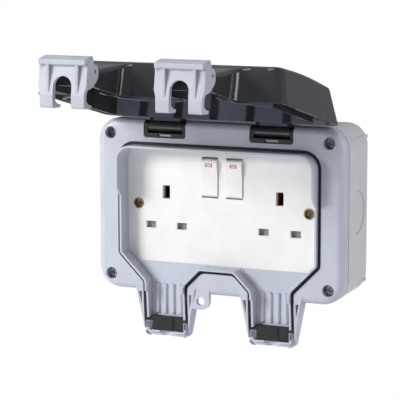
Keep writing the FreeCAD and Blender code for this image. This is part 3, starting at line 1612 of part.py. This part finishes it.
def build():
    """Every node of the assembly, by name."""
    right = [
        make_hinge_bracket(),
        make_hinge_pin(),
        make_clip(),
        make_clip_pin(),
        make_rocker(),
        make_switch_arm(),
        make_shutter(),
        make_shutter_spring(),
    ]
    left = [mirrored(part.Label.replace("_right", "_left"), part) for part in right]
    live_height = -S.pin_z
    single = [
        make_back_box(),
        make_gasket(),
        make_front_housing(),
        make_weather_seal(),
        make_corner_screws(),
        make_lid(),
        make_faceplate(),
        make_bushes(),
        make_faceplate_screws(),
        make_base(),
        make_line_contact("line_contact_left", -1),
        make_line_contact("line_contact_right", 1),
        make_deep_bar("neutral_bar", live_height, (-S.outlet_x - S.pin_x, S.outlet_x - S.pin_x),
                      S.live_mouth_width, S.live_mouth_high, S.sleeve_front_live, -(S.pin_z + 5.0)),
        make_deep_bar("earth_bar", S.earth_z, (-S.outlet_x, S.outlet_x),
                      S.earth_mouth_width, S.earth_mouth_high, S.sleeve_front_earth, S.earth_z - 8.0),
        make_supply_bar(),
        make_terminal_screws(),
        make_base_screws(),
    ]
    doc.recompute()
    return single + right + left


def check(parts):
    for item in doc.Objects:
        if "Invalid" in item.State or "Error" in item.State:
            raise ValueError(f"{item.Name} failed: {item.State}")
    for part in parts:
        if part.Shape.isNull() or not part.Shape.isValid() or not part.Shape.Solids:
            raise ValueError(f"{part.Label} has no valid shape")


def export(parts):
    os.makedirs("parts", exist_ok=True)
    for part in parts:
        part.Shape.exportStep(f"parts/{part.Label}.step")


nodes = build()
check(nodes)
export(nodes)
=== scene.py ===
# %% [markdown]
# Outdoor weatherproof socket
#
# A twin mains socket in a grey box on the wall, under a dark lid that swings up. The lid has two
# legs that reach over the cable spouts, and a pale clip at the end of each. The shapes come from
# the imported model. This lesson gives them the finish of the real mouldings, adds the printed
# marks on the switches, and sets the light and the camera.

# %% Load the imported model
import json
import math

import bmesh
import bpy
from mathutils import Matrix, Vector


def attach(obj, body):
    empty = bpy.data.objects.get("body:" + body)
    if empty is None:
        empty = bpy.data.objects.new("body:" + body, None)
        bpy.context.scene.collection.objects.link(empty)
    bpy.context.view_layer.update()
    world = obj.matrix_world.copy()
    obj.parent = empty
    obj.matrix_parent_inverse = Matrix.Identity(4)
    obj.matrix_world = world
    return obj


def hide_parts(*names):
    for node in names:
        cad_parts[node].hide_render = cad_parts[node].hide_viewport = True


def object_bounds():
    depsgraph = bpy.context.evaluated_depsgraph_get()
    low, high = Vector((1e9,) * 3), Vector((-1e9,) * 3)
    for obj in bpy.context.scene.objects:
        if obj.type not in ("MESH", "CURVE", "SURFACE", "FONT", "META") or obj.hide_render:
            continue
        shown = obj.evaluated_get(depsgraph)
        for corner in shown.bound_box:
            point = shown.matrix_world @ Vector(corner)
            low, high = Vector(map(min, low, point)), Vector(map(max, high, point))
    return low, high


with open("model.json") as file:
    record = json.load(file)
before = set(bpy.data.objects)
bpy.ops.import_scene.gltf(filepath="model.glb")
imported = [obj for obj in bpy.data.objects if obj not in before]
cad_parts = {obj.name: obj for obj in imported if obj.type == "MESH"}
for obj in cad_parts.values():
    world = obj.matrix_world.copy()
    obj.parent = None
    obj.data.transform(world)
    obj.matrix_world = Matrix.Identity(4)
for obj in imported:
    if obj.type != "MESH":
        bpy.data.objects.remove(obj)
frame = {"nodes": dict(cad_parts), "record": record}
NODES = frame["nodes"]
cad_low, cad_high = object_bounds()
MM = 0.001
print("nodes", len(NODES), "box", [round(v, 4) for v in (*cad_low, *cad_high)])

# %% [markdown]
# Colours are written as they look on a screen, in hexadecimal. Blender's shaders want linear
# values, so one function turns them over, and every material uses it.

# %% Turn a screen colour into a linear one
SRGB_KNEE = 0.04045


def linear(hex_colour):
    """An sRGB hex colour as linear red, green, blue and alpha."""
    parts = [int(hex_colour[i:i + 2], 16) / 255 for i in (1, 3, 5)]
    bent = [v / 12.92 if v <= SRGB_KNEE else ((v + 0.055) / 1.055) ** 2.4 for v in parts]
    return (*bent, 1.0)


# %% [markdown]
# A material is a small graph of nodes. One helper adds a node, sets its values and joins its
# inputs, so each material reads as a short list of what it is made of.

# %% Helpers for materials
def add_node(tree, kind, settings=None, values=None, links=None):
    """Adds a node. settings are its properties, values its sockets, links its sockets' sources."""
    node = tree.nodes.new(kind)
    for name, value in (settings or {}).items():
        setattr(node, name, value)
    for name, value in (values or {}).items():
        node.inputs[name].default_value = value
    for name, source in (links or {}).items():
        tree.links.new(source, node.inputs[name])
    return node


def start_material(name, finish):
    """A new material with its main shader's values set, and the object's own coordinates."""
    material = bpy.data.materials.new(name)
    material.use_nodes = True
    tree = material.node_tree
    shader = tree.nodes["Principled BSDF"]
    for socket, value in finish.items():
        shader.inputs[socket].default_value = value
    place = add_node(tree, "ShaderNodeTexCoord").outputs["Object"]
    return material, tree, shader, place


def vary_colour(tree, shader, place, light, dark, patch_mm):
    """Soft, hardly visible changes of colour over the moulding, as in any filled plastic."""
    cloud = add_node(tree, "ShaderNodeTexNoise", values={"Scale": 1 / (patch_mm * MM), "Detail": 3.0},
                     links={"Vector": place})
    ramp = add_node(tree, "ShaderNodeValToRGB", links={"Fac": cloud.outputs["Fac"]})
    ramp.color_ramp.elements[0].position = 0.35
    ramp.color_ramp.elements[1].position = 0.65
    ramp.color_ramp.elements[0].color = linear(dark)
    ramp.color_ramp.elements[1].color = linear(light)
    tree.links.new(ramp.outputs["Color"], shader.inputs["Base Color"])


def vary_roughness(tree, shader, place, low, high, patch_mm):
    """Patches that are a little more or less polished."""
    cloud = add_node(tree, "ShaderNodeTexNoise", values={"Scale": 1 / (patch_mm * MM), "Detail": 2.0},
                     links={"Vector": place})
    spread = add_node(tree, "ShaderNodeMapRange", values={"To Min": low, "To Max": high},
                      links={"Value": cloud.outputs["Fac"]})
    tree.links.new(spread.outputs["Result"], shader.inputs["Roughness"])


def surface_relief(tree, shader, place, grain_mm, height_mm, edge_mm):
    """Fine relief of the mould's surface, on edges that are rounded by a small radius."""
    edge = add_node(tree, "ShaderNodeBevel", {"samples": 4}, {"Radius": edge_mm * MM})
    grain = add_node(tree, "ShaderNodeTexNoise", values={"Scale": 1 / (grain_mm * MM), "Detail": 2.0},
                     links={"Vector": place})
    bump = add_node(tree, "ShaderNodeBump", values={"Strength": 1.0, "Distance": height_mm * MM},
                    links={"Height": grain.outputs["Fac"], "Normal": edge.outputs["Normal"]})
    tree.links.new(bump.outputs["Normal"], shader.inputs["Normal"])


# %% [markdown]
# The box and the front housing are injection moulded in a weatherproof ABS blend. The steel
# mould was spark eroded, which leaves a fine even grain and a soft sheen. The real grain is about
# 0.1 mm, too fine for the picture, so it is drawn at 0.6 mm.

# %% Grey moulded plastics
def moulded_abs(name, light, dark, roughness, edge_mm):
    finish = {"Roughness": roughness, "IOR": 1.53}
    material, tree, shader, place = start_material(name, finish)
    vary_colour(tree, shader, place, light, dark, 18.0)
    vary_roughness(tree, shader, place, roughness - 0.04, roughness + 0.04, 7.0)
    surface_relief(tree, shader, place, 0.6, 0.012, edge_mm)
    return material


BOX_PLASTIC = moulded_abs("spark_eroded_abs_warm_grey", "#D2D2D7", "#CCCCD1", 0.42, 0.4)
HOUSING_PLASTIC = moulded_abs("spark_eroded_abs_blue_grey", "#C4C8D4", "#BEC2CE", 0.40, 0.5)
CLIP_PLASTIC = moulded_abs("satin_acetal_pale_grey", "#BEC1CA", "#B8BBC4", 0.38, 0.5)

# %% [markdown]
# The lid is a deep polycarbonate moulding from a polished mould, smoked nearly black. It has the
# sharp, mirror-like highlights of glass. The wall beside the hinge is given a painted reflection:
# slate grey mixed into its colour, where it would mirror the housing below it. Darker bars cross it
# where stiffening ribs stand behind, and there the painted reflection is left out. The bars lie
# about 25 mm apart and are found from the lid's own coordinates, on faces that look forward in the
# open lid.

# %% Lid plastic
RIB_SPACING = 25.0 * MM
REFLECTION_FADE = (2.2 * MM, 3.8 * MM)
WALL_HEIGHTS = (56.0 * MM, 80.0 * MM)
LOOKS_FORWARD = -0.6
# Painted reflection: the housing's grey as the hinge-side wall would mirror it.
PAINTED_REFLECTION_GREY = "#6E7180"


def maths(tree, operation, first, second):
    """One step of arithmetic; each input is a number or another node's output."""
    node = add_node(tree, "ShaderNodeMath", {"operation": operation})
    for index, value in enumerate((first, second)):
        if isinstance(value, (int, float)):
            node.inputs[index].default_value = value
        else:
            tree.links.new(value, node.inputs[index])
    return node.outputs["Value"]


def polished_polycarbonate():
    finish = {"Roughness": 0.12, "IOR": 1.58, "Coat Weight": 0.3, "Coat Roughness": 0.05}
    material, tree, shader, place = start_material("polished_polycarbonate_black_with_painted_reflection", finish)
    vary_colour(tree, shader, place, "#38383B", "#323235", 30.0)
    smoked = shader.inputs["Base Color"].links[0].from_socket
    where = add_node(tree, "ShaderNodeSeparateXYZ", links={"Vector": place})
    looks = add_node(tree, "ShaderNodeTexCoord").outputs["Normal"]
    faces = add_node(tree, "ShaderNodeSeparateXYZ", links={"Vector": looks})
    forward = maths(tree, "LESS_THAN", faces.outputs["Y"], LOOKS_FORWARD)
    above = maths(tree, "GREATER_THAN", where.outputs["Z"], WALL_HEIGHTS[0])
    below = maths(tree, "LESS_THAN", where.outputs["Z"], WALL_HEIGHTS[1])
    wall = maths(tree, "MULTIPLY", maths(tree, "MULTIPLY", above, below), forward)
    from_rib = maths(tree, "PINGPONG", where.outputs["X"], RIB_SPACING / 2)
    panel = add_node(tree, "ShaderNodeMapRange",
                     values={"From Min": REFLECTION_FADE[0], "From Max": REFLECTION_FADE[1]},
                     links={"Value": from_rib})
    # Painted reflection: slate grey mixed into the lid's colour in bands on the hinge-side wall.
    painted_reflection = add_node(tree, "ShaderNodeMix", {"data_type": "RGBA"},
                     links={"Factor": maths(tree, "MULTIPLY", wall, panel.outputs["Result"])})
    painted_reflection.inputs["B"].default_value = linear(PAINTED_REFLECTION_GREY)
    tree.links.new(smoked, painted_reflection.inputs["A"])
    tree.links.new(painted_reflection.outputs["Result"], shader.inputs["Base Color"])
    vary_roughness(tree, shader, place, 0.10, 0.16, 12.0)
    surface_relief(tree, shader, place, 5.0, 0.01, 0.5)
    return material


LID_PLASTIC = polished_polycarbonate()

# %% [markdown]
# The faceplate and rockers are pressed from urea, the hard white plastic of most indoor sockets.
# It is glossier than the housing and a little warm.

# %% White urea
def pressed_urea(name, light, dark, roughness):
    finish = {"Roughness": roughness, "IOR": 1.55}
    material, tree, shader, place = start_material(name, finish)
    vary_colour(tree, shader, place, light, dark, 14.0)
    vary_roughness(tree, shader, place, roughness - 0.03, roughness + 0.03, 9.0)
    surface_relief(tree, shader, place, 1.6, 0.004, 0.35)
    return material


PLATE_PLASTIC = pressed_urea("pressed_urea_white", "#F3F2F0", "#EEEDEB", 0.30)
SHUTTER_PLASTIC = moulded_abs("moulded_polyamide_shutter", "#8C9096", "#84888E", 0.5, 0.2)
BASE_PLASTIC = moulded_abs("moulded_polyamide_cream", "#DAD9D2", "#D2D1CA", 0.5, 0.2)

# %% [markdown]
# The seals are moulded EPDM rubber, nearly black and matt, with a dusty bloom. The hinge brackets
# are glass-filled polyamide, as dark but harder, with a slight sheen. Their near-black colour also
# stands in for the deep shade inside the hinge notches, so it is partly painted shade.

# %% Rubber and polyamide
def moulded_rubber():
    finish = {"Roughness": 0.62, "IOR": 1.5}
    material, tree, shader, place = start_material("epdm_rubber_black", finish)
    vary_colour(tree, shader, place, "#1C1D1F", "#131416", 4.0)
    surface_relief(tree, shader, place, 0.8, 0.02, 0.3)
    return material


def polyamide_and_notch_shade():
    finish = {"Roughness": 0.36, "IOR": 1.53}
    material, tree, shader, place = start_material("glass_filled_polyamide_black_and_painted_notch_shade", finish)
    # Near-black: the brackets' own colour, also used as painted shade in the hinge notches.
    vary_colour(tree, shader, place, "#262729", "#1E1F21", 5.0)
    surface_relief(tree, shader, place, 0.7, 0.012, 0.35)
    return material


SEAL_RUBBER = moulded_rubber()
BRACKET_PLASTIC_AND_NOTCH_SHADE = polyamide_and_notch_shade()

# %% [markdown]
# The inner screws are bright zinc-plated steel, and the contacts and bushes are turned or pressed
# brass. The screws that face the weather are passivated darker, so that only the edges of the
# cross catch the light. All are metals: their colour is in the reflection, with fine marks left
# by the tool.

# %% Metals
def worked_metal(name, light, dark, roughness, mark_mm):
    finish = {"Roughness": roughness, "Metallic": 1.0}
    material, tree, shader, place = start_material(name, finish)
    vary_colour(tree, shader, place, light, dark, 3.0)
    vary_roughness(tree, shader, place, roughness - 0.08, roughness + 0.1, mark_mm)
    surface_relief(tree, shader, place, mark_mm, 0.01, 0.15)
    return material


SCREW_STEEL = worked_metal("zinc_plated_steel", "#C9CACC", "#A9ABB0", 0.32, 0.7)
HEAD_STEEL = worked_metal("passivated_steel", "#8C8D91", "#55575B", 0.24, 0.9)
CONTACT_BRASS = worked_metal("pressed_brass", "#C9A15A", "#A97E3C", 0.34, 0.6)

# %% Give each node its finish
FINISH_OF_SLOT = {
    "box_grey": BOX_PLASTIC,
    "housing_grey": HOUSING_PLASTIC,
    "lid_black": LID_PLASTIC,
    "clip_grey": CLIP_PLASTIC,
    "white": PLATE_PLASTIC,
    "seal_black": SEAL_RUBBER,
    "bracket_black": BRACKET_PLASTIC_AND_NOTCH_SHADE,
    "brass": CONTACT_BRASS,
    "steel": SCREW_STEEL,
    "shutter_grey": SHUTTER_PLASTIC,
    "base_plastic": BASE_PLASTIC,
}
for part in frame["record"]["subparts"]:
    node = NODES[part["node"]]
    finish = FINISH_OF_SLOT[part["material_slot"]]
    if part["node"] in ("corner_screws", "faceplate_screws"):
        finish = HEAD_STEEL
    if not node.data.materials:
        node.data.materials.append(finish)
    for index in range(len(node.data.materials)):
        node.data.materials[index] = finish

# %% [markdown]
# Each clip is one acetal moulding, seen close to the camera, so it is modelled again with the
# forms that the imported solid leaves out. It has a thumb plate on top, a front that slopes back
# under it, and two legs with an arch between them. A rib runs down the middle of each leg, and
# in light from the left its shadow makes the dark wedge of the photograph.
#
# The clip is drawn about its own pin: across, then up from the pin, then back from it. Side
# profiles are pushed out sideways into prisms. Prisms are joined or cut with exact booleans, as
# the hollows of a mould would be, and a last fine bevel softens the edges.

# %% Clip helpers
PIN_PLACE = {side: Vector(NODES[f"clip_pin_{side}"].matrix_world @ (
    sum((v.co for v in NODES[f"clip_pin_{side}"].data.vertices), Vector())
    / len(NODES[f"clip_pin_{side}"].data.vertices))) for side in ("left", "right")}
ARC_STEPS = 5


def rounded(corners):
    """An outline whose corners (up, back, radius) are turned into short arcs."""
    points = []
    count = len(corners)
    for index, (up_mm, back_mm, radius) in enumerate(corners):
        here = Vector((up_mm, back_mm))
        before = (Vector(corners[index - 1][:2]) - here).normalized()
        after = (Vector(corners[(index + 1) % count][:2]) - here).normalized()
        if radius == 0:
            points.append(here)
            continue
        half_angle = before.angle(after) / 2
        reach = radius / math.tan(half_angle)
        start, end = here + before * reach, here + after * reach
        middle = here + (before + after).normalized() * (radius / math.sin(half_angle))
        for step in range(ARC_STEPS + 1):
            share = step / ARC_STEPS
            spoke = ((start - middle) * (1 - share) + (end - middle) * share).normalized()
            points.append(middle + spoke * radius)
    return points


def prism_mesh(name, points, near, far, place):
    """Pushes an outline from near to far; place turns (across, up, back) into the part's frame."""
    shape = bmesh.new()
    rings = [[shape.verts.new(place(depth, point)) for point in points] for depth in (near, far)]
    shape.faces.new(rings[0])
    shape.faces.new(list(reversed(rings[1])))
    for index in range(len(points)):
        after = (index + 1) % len(points)
        shape.faces.new((rings[0][after], rings[0][index], rings[1][index], rings[1][after]))
    bmesh.ops.recalc_face_normals(shape, faces=shape.faces)
    mesh = bpy.data.meshes.new(name)
    shape.to_mesh(mesh)
    shape.free()
    piece = bpy.data.objects.new(name, mesh)
    bpy.context.scene.collection.objects.link(piece)
    return piece


def combine(base, tools, operation):
    """Joins or cuts the base with each tool, then removes the tools."""
    for tool in tools:
        step = base.modifiers.new("combine", "BOOLEAN")
        step.operation = operation
        step.solver = "EXACT"
        step.object = tool
        bpy.context.view_layer.update()
        result = bpy.data.meshes.new_from_object(
            base.evaluated_get(bpy.context.evaluated_depsgraph_get()))
        base.modifiers.remove(step)
        old = base.data
        base.data = result
        bpy.data.meshes.remove(old)
        bpy.data.objects.remove(tool)
    return base


# %% Model the clips again
CLIP_HALF = 15.8
PLATE_HALF = 15.2
CHEEK = 1.9
ARCH_HALF = 6.0
RIB_MIDDLE = 9.55
RIB_HALF = 0.95


def sideways(side):
    """Places a side profile: points are (up, back), pushed out across the clip."""
    pin = PIN_PLACE[side]

    def place(across, point):
        return Vector((pin.x + across * MM, pin.y + point[1] * MM, pin.z + point[0] * MM))
    return place


def backwards(side):
    """Places a front outline: points are (across, up), pushed backwards through the clip."""
    pin = PIN_PLACE[side]

    def place(depth, point):
        return Vector((pin.x + point[0] * MM, pin.y + depth * MM, pin.z + point[1] * MM))
    return place


SHELL = [(3.6, -9.2, 0.4), (-13.6, -11.9, 9.0), (-21.0, -11.9, 1.6), (-21.4, -2.8, 0.7),
         (-19.6, -2.2, 0.5), (-18.9, -6.2, 0.9), (-16.6, -9.0, 1.2), (-5.0, -7.8, 3.0),
         (1.0, -6.6, 1.5), (3.6, -4.0, 0.4)]
THUMB = [(7.4, -11.9, 0.5), (4.7, -11.9, 0.5), (3.2, -8.4, 0.3), (3.2, -4.4, 0.3), (6.6, -3.0, 1.0),
         (7.3, -1.5, 0.3), (9.2, -1.5, 0.6), (8.9, -5.6, 6.0)]
SIDE = [(4.2, 4.2, 4.1), (-4.2, 4.2, 4.1), (-9.4, -4.0, 2.0), (-10.5, -9.5, 0.3), (4.7, -9.5, 0.3),
        (8.2, -4.6, 0.5), (8.2, -2.0, 0.5), (4.2, -1.0, 0.6)]
RIB = [(4.9, -11.4, 0.3), (-12.0, -11.7, 0.6), (-16.0, -11.4, 0.4), (-16.0, -9.6, 0.3), (4.9, -8.6, 0.3)]
NARROWING = ((17.0, -4.0), (14.6, -12.0), (14.4, -24.0), (17.0, -24.0))
ARCH_TOP, BELOW_CLIP = -2.2, -24.0
CUT_DEPTH = (-16.0, 2.0)
SOFT_EDGE, SOFT_ANGLE = 0.25 * MM, math.radians(35)


def model_clip(side):
    place, through = sideways(side), backwards(side)
    clip = prism_mesh(f"clip_moulding_{side}", rounded(SHELL), -CLIP_HALF, CLIP_HALF, place)
    joins = [prism_mesh("thumb", rounded(THUMB), -PLATE_HALF, PLATE_HALF, place)]
    for hand in (-1, 1):
        ends = sorted((CLIP_HALF * hand, (CLIP_HALF - CHEEK) * hand))
        joins.append(prism_mesh("side", rounded(SIDE), *ends, place))
        ends = sorted(((RIB_MIDDLE - RIB_HALF) * hand, (RIB_MIDDLE + RIB_HALF) * hand))
        joins.append(prism_mesh("rib", rounded(RIB), *ends, place))
    combine(clip, joins, "UNION")
    arch = rounded([(-ARCH_HALF, ARCH_TOP, ARCH_HALF - 0.2), (ARCH_HALF, ARCH_TOP, ARCH_HALF - 0.2),
                    (ARCH_HALF, BELOW_CLIP, 0), (-ARCH_HALF, BELOW_CLIP, 0)])
    cuts = [prism_mesh("arch", arch, *CUT_DEPTH, through)]
    for hand in (-1, 1):
        outline = [Vector((across * hand, up)) for across, up in NARROWING]
        cuts.append(prism_mesh("narrowing", outline, *CUT_DEPTH, through))
    combine(clip, cuts, "DIFFERENCE")
    soften = clip.modifiers.new("soft_edges", "BEVEL")
    soften.width = SOFT_EDGE
    soften.segments = 2
    soften.limit_method = "ANGLE"
    soften.angle_limit = SOFT_ANGLE
    clip.data.materials.clear()
    clip.data.materials.append(CLIP_PLASTIC)
    for polygon in clip.data.polygons:
        polygon.material_index = 0
    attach(clip, f"clip_{side}")
    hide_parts(f"clip_{side}")
    print(side, "clip", len(clip.data.polygons), "faces")


for side in ("left", "right"):
    model_clip(side)

# %% [markdown]
# Each rocker carries a small red flash on its upper half, with the word ON left white in it. It
# is pad printed, so it is a film with hardly any thickness, laid on the rocker's own slope.

# %% Find the slope of a rocker
def upper_face(node):
    """The centre, outward normal and height of the largest flat face on the rocker's upper half."""
    mesh = node.data
    middle = sum((v.co for v in mesh.vertices), Vector()) / len(mesh.vertices)
    best = {}
    for polygon in mesh.polygons:
        if polygon.normal.y < -0.9 and polygon.center.z > middle.z:
            key = tuple(round(c, 2) for c in polygon.normal)
            best.setdefault(key, []).append(polygon)
    faces = max(best.values(), key=lambda group: sum(p.area for p in group))
    corners = [mesh.vertices[i].co for p in faces for i in p.vertices]
    low = Vector(min(c[axis] for c in corners) for axis in range(3))
    high = Vector(max(c[axis] for c in corners) for axis in range(3))
    return faces[0].normal.copy(), (low + high) / 2, low, high


# %% [markdown]
# The flash is a red panel near the top of the slope. Its letters are built from plain strokes,
# each one a thin prism on the slope: four bars make the O, two bars and a slanting one the N.

# %% Print the red flashes
FLASH_HALF = (2.5 * MM, 1.25 * MM)
FLASH_BELOW_TOP = 1.7 * MM
FILM = (-0.01 * MM, 0.03 * MM)
INK = (0.02 * MM, 0.05 * MM)
LETTER = (1.5 * MM, 1.8 * MM)
STROKE = 0.38 * MM


def printed(name, finish):
    """Printing ink: flat in colour, a little glossier than the plastic under it."""
    material, tree, shader, place = start_material(name, {"Roughness": 0.35, "IOR": 1.5})
    vary_colour(tree, shader, place, finish[0], finish[1], 1.5)
    return material


RED_INK = printed("pad_printed_red_ink", ("#C8506C", "#C04864"))
WHITE_INK = printed("bare_urea_in_the_print", ("#F1EDEC", "#ECE8E7"))


def bar(left, bottom, right, top):
    return [(left, bottom), (right, bottom), (right, top), (left, top)]


def letter_strokes():
    """The strokes of ON, each a four-cornered outline about the flash's middle."""
    wide, high = LETTER
    half = high / 2
    gap = 0.3 * MM
    o_left, o_right = -gap / 2 - wide, -gap / 2
    n_left, n_right = gap / 2, gap / 2 + wide
    return [
        bar(o_left, -half, o_left + STROKE, half),
        bar(o_right - STROKE, -half, o_right, half),
        bar(o_left + STROKE, half - STROKE, o_right - STROKE, half),
        bar(o_left + STROKE, -half, o_right - STROKE, -half + STROKE),
        bar(n_left, -half, n_left + STROKE, half),
        bar(n_right - STROKE, -half, n_right, half),
        [(n_left + STROKE, half), (n_left + STROKE, half - 2 * STROKE),
         (n_right - STROKE, -half), (n_right - STROKE, -half + 2 * STROKE)],
    ]


def prism(shape, outline, levels, where):
    """A flat-sided prism on an outline, between two levels above the slope."""
    rings = [[shape.verts.new(where(x, y, level)) for x, y in outline] for level in levels]
    shape.faces.new(rings[1])
    shape.faces.new(list(reversed(rings[0])))
    for index in range(len(outline)):
        after = (index + 1) % len(outline)
        shape.faces.new((rings[0][index], rings[0][after], rings[1][after], rings[1][index]))


def print_flash(side):
    rocker = NODES[f"rocker_{side}"]
    normal, centre, low, high = upper_face(rocker)
    across = Vector((1, 0, 0))
    upward = normal.cross(across) * -1
    top = high.z - FLASH_BELOW_TOP
    middle = centre + upward * ((top - centre.z) / upward.z)

    def where(x, y, level):
        return middle + across * x + upward * y + normal * level

    for name, outlines, levels, ink in (
            ("flash", [bar(-FLASH_HALF[0], -FLASH_HALF[1], *FLASH_HALF)], FILM, RED_INK),
            ("flash_letters", letter_strokes(), INK, WHITE_INK)):
        shape = bmesh.new()
        for outline in outlines:
            prism(shape, outline, levels, where)
        bmesh.ops.recalc_face_normals(shape, faces=shape.faces)
        mesh = bpy.data.meshes.new(f"{name}_{side}")
        shape.to_mesh(mesh)
        shape.free()
        mesh.materials.append(ink)
        piece = bpy.data.objects.new(f"{name}_{side}", mesh)
        bpy.context.scene.collection.objects.link(piece)
        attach(piece, f"rocker_{side}")
    print(side, "flash at", [round(v, 4) for v in middle])


for side in ("left", "right"):
    print_flash(side)

# %% [markdown]
# The camera stands a little right of the front and a little above, as in the photograph, with a
# long lens. Its place comes from fitting the known sizes of the faceplate to the picture.

# %% Camera
CAMERA_AZIMUTH = math.radians(24.25)
CAMERA_ELEVATION = math.radians(8.64)
CAMERA_ROLL = math.radians(-0.07)
CAMERA_DISTANCE = 1231.78 * MM
CAMERA_ACROSS = -14.51 * MM
CAMERA_UP = 5.44 * MM
FACE_PLANE = Vector((0, -41.0 * MM, 0))
SENSOR = 36.0
LENS = 1897.14 / 400 * SENSOR


def camera_axes():
    """The camera's right, up and backward directions."""
    sin_a, cos_a = math.sin(CAMERA_AZIMUTH), math.cos(CAMERA_AZIMUTH)
    sin_e, cos_e = math.sin(CAMERA_ELEVATION), math.cos(CAMERA_ELEVATION)
    back = Vector((sin_a * cos_e, -cos_a * cos_e, sin_e))
    right = Vector((cos_a, sin_a, 0))
    up = back.cross(right)
    turned_right = math.cos(CAMERA_ROLL) * right + math.sin(CAMERA_ROLL) * up
    turned_up = -math.sin(CAMERA_ROLL) * right + math.cos(CAMERA_ROLL) * up
    return turned_right, turned_up, back


right, up, back = camera_axes()
camera_data = bpy.data.cameras.new("photo_camera")
camera_data.sensor_width = SENSOR
camera_data.lens = LENS
camera = bpy.data.objects.new("photo_camera", camera_data)
bpy.context.scene.collection.objects.link(camera)
place = FACE_PLANE + back * CAMERA_DISTANCE + right * CAMERA_ACROSS + up * CAMERA_UP
turn = Matrix((right, up, back)).transposed().to_4x4()
camera.matrix_world = Matrix.Translation(place) @ turn
camera_data.clip_start = 0.05
camera_data.clip_end = 20
bpy.context.scene.camera = camera
print("camera at", [round(v, 3) for v in place], "lens", round(LENS, 1))

# %% [markdown]
# The photograph is cut out on white. The floor and the surrounding world show white to the camera,
# and light the object at a plain level.

# %% Floor and world
FLOOR_DROP = 0.12


def white_to_camera(tree, surface, strength):
    """Shows plain white to the camera and to rays through glass, and the given surface to other light.
    """
    path = add_node(tree, "ShaderNodeLightPath")
    glossy = add_node(tree, "ShaderNodeMath", {"operation": "MAXIMUM"}, links={
        0: path.outputs["Is Camera Ray"], 1: path.outputs["Is Transmission Ray"]})
    white = add_node(tree, "ShaderNodeEmission", values={"Color": (1, 1, 1, 1), "Strength": strength})
    return add_node(tree, "ShaderNodeMixShader", links={
        0: glossy.outputs["Value"], 1: surface, 2: white.outputs["Emission"]})


def make_floor():
    shape = bmesh.new()
    bmesh.ops.create_grid(shape, x_segments=4, y_segments=4, size=4.0)
    bmesh.ops.translate(shape, verts=shape.verts, vec=(0, 0, cad_low.z - FLOOR_DROP))
    mesh = bpy.data.meshes.new("floor")
    shape.to_mesh(mesh)
    shape.free()
    floor = bpy.data.objects.new("floor", mesh)
    bpy.context.scene.collection.objects.link(floor)
    material = bpy.data.materials.new("studio_floor_white")
    material.use_nodes = True
    tree = material.node_tree
    shader = tree.nodes["Principled BSDF"]
    shader.inputs["Base Color"].default_value = linear("#F2F2F2")
    shader.inputs["Roughness"].default_value = 0.9
    mixed = white_to_camera(tree, shader.outputs["BSDF"], 1.0)
    tree.links.new(mixed.outputs[0], tree.nodes["Material Output"].inputs["Surface"])
    mesh.materials.append(material)
    return floor


def make_world():
    world = bpy.data.worlds.new("studio")
    bpy.context.scene.world = world
    world.use_nodes = True
    tree = world.node_tree
    fill = tree.nodes["Background"]
    fill.inputs["Color"].default_value = linear("#E6EAF2")
    fill.inputs["Strength"].default_value = 0.26
    path = add_node(tree, "ShaderNodeLightPath")
    white = add_node(tree, "ShaderNodeBackground", values={"Color": (1, 1, 1, 1), "Strength": 1.0})
    mixed = add_node(tree, "ShaderNodeMixShader", links={
        0: path.outputs["Is Camera Ray"], 1: fill.outputs[0], 2: white.outputs[0]})
    tree.links.new(mixed.outputs[0], tree.nodes["World Output"].inputs["Surface"])


make_floor()
make_world()

# %% Lamps
def add_lamp(name, where, target, size, watts, colour="#FFFFFF"):
    """A square soft light that looks at a point."""
    data = bpy.data.lights.new(name, "AREA")
    data.shape = "SQUARE"
    data.size = size
    data.energy = watts
    data.color = linear(colour)[:3]
    lamp = bpy.data.objects.new(name, data)
    bpy.context.scene.collection.objects.link(lamp)
    lamp.location = where
    lamp.rotation_euler = (Vector(target) - Vector(where)).to_track_quat("-Z", "Y").to_euler()
    return lamp


CENTRE = (0, -0.05, 0.02)
add_lamp("key_left", (-0.95, -1.05, 0.55), CENTRE, 0.5, 19.0)
add_lamp("side_right", (1.6, 0.25, 0.45), CENTRE, 0.9, 9.0)
add_lamp("top", (0.1, -0.35, 1.5), CENTRE, 0.8, 6.5)
add_lamp("strip_right", (0.75, -1.0, 0.12), CENTRE, 0.12, 0.35)

# %% View settings
bpy.context.scene.view_settings.view_transform = "Standard"
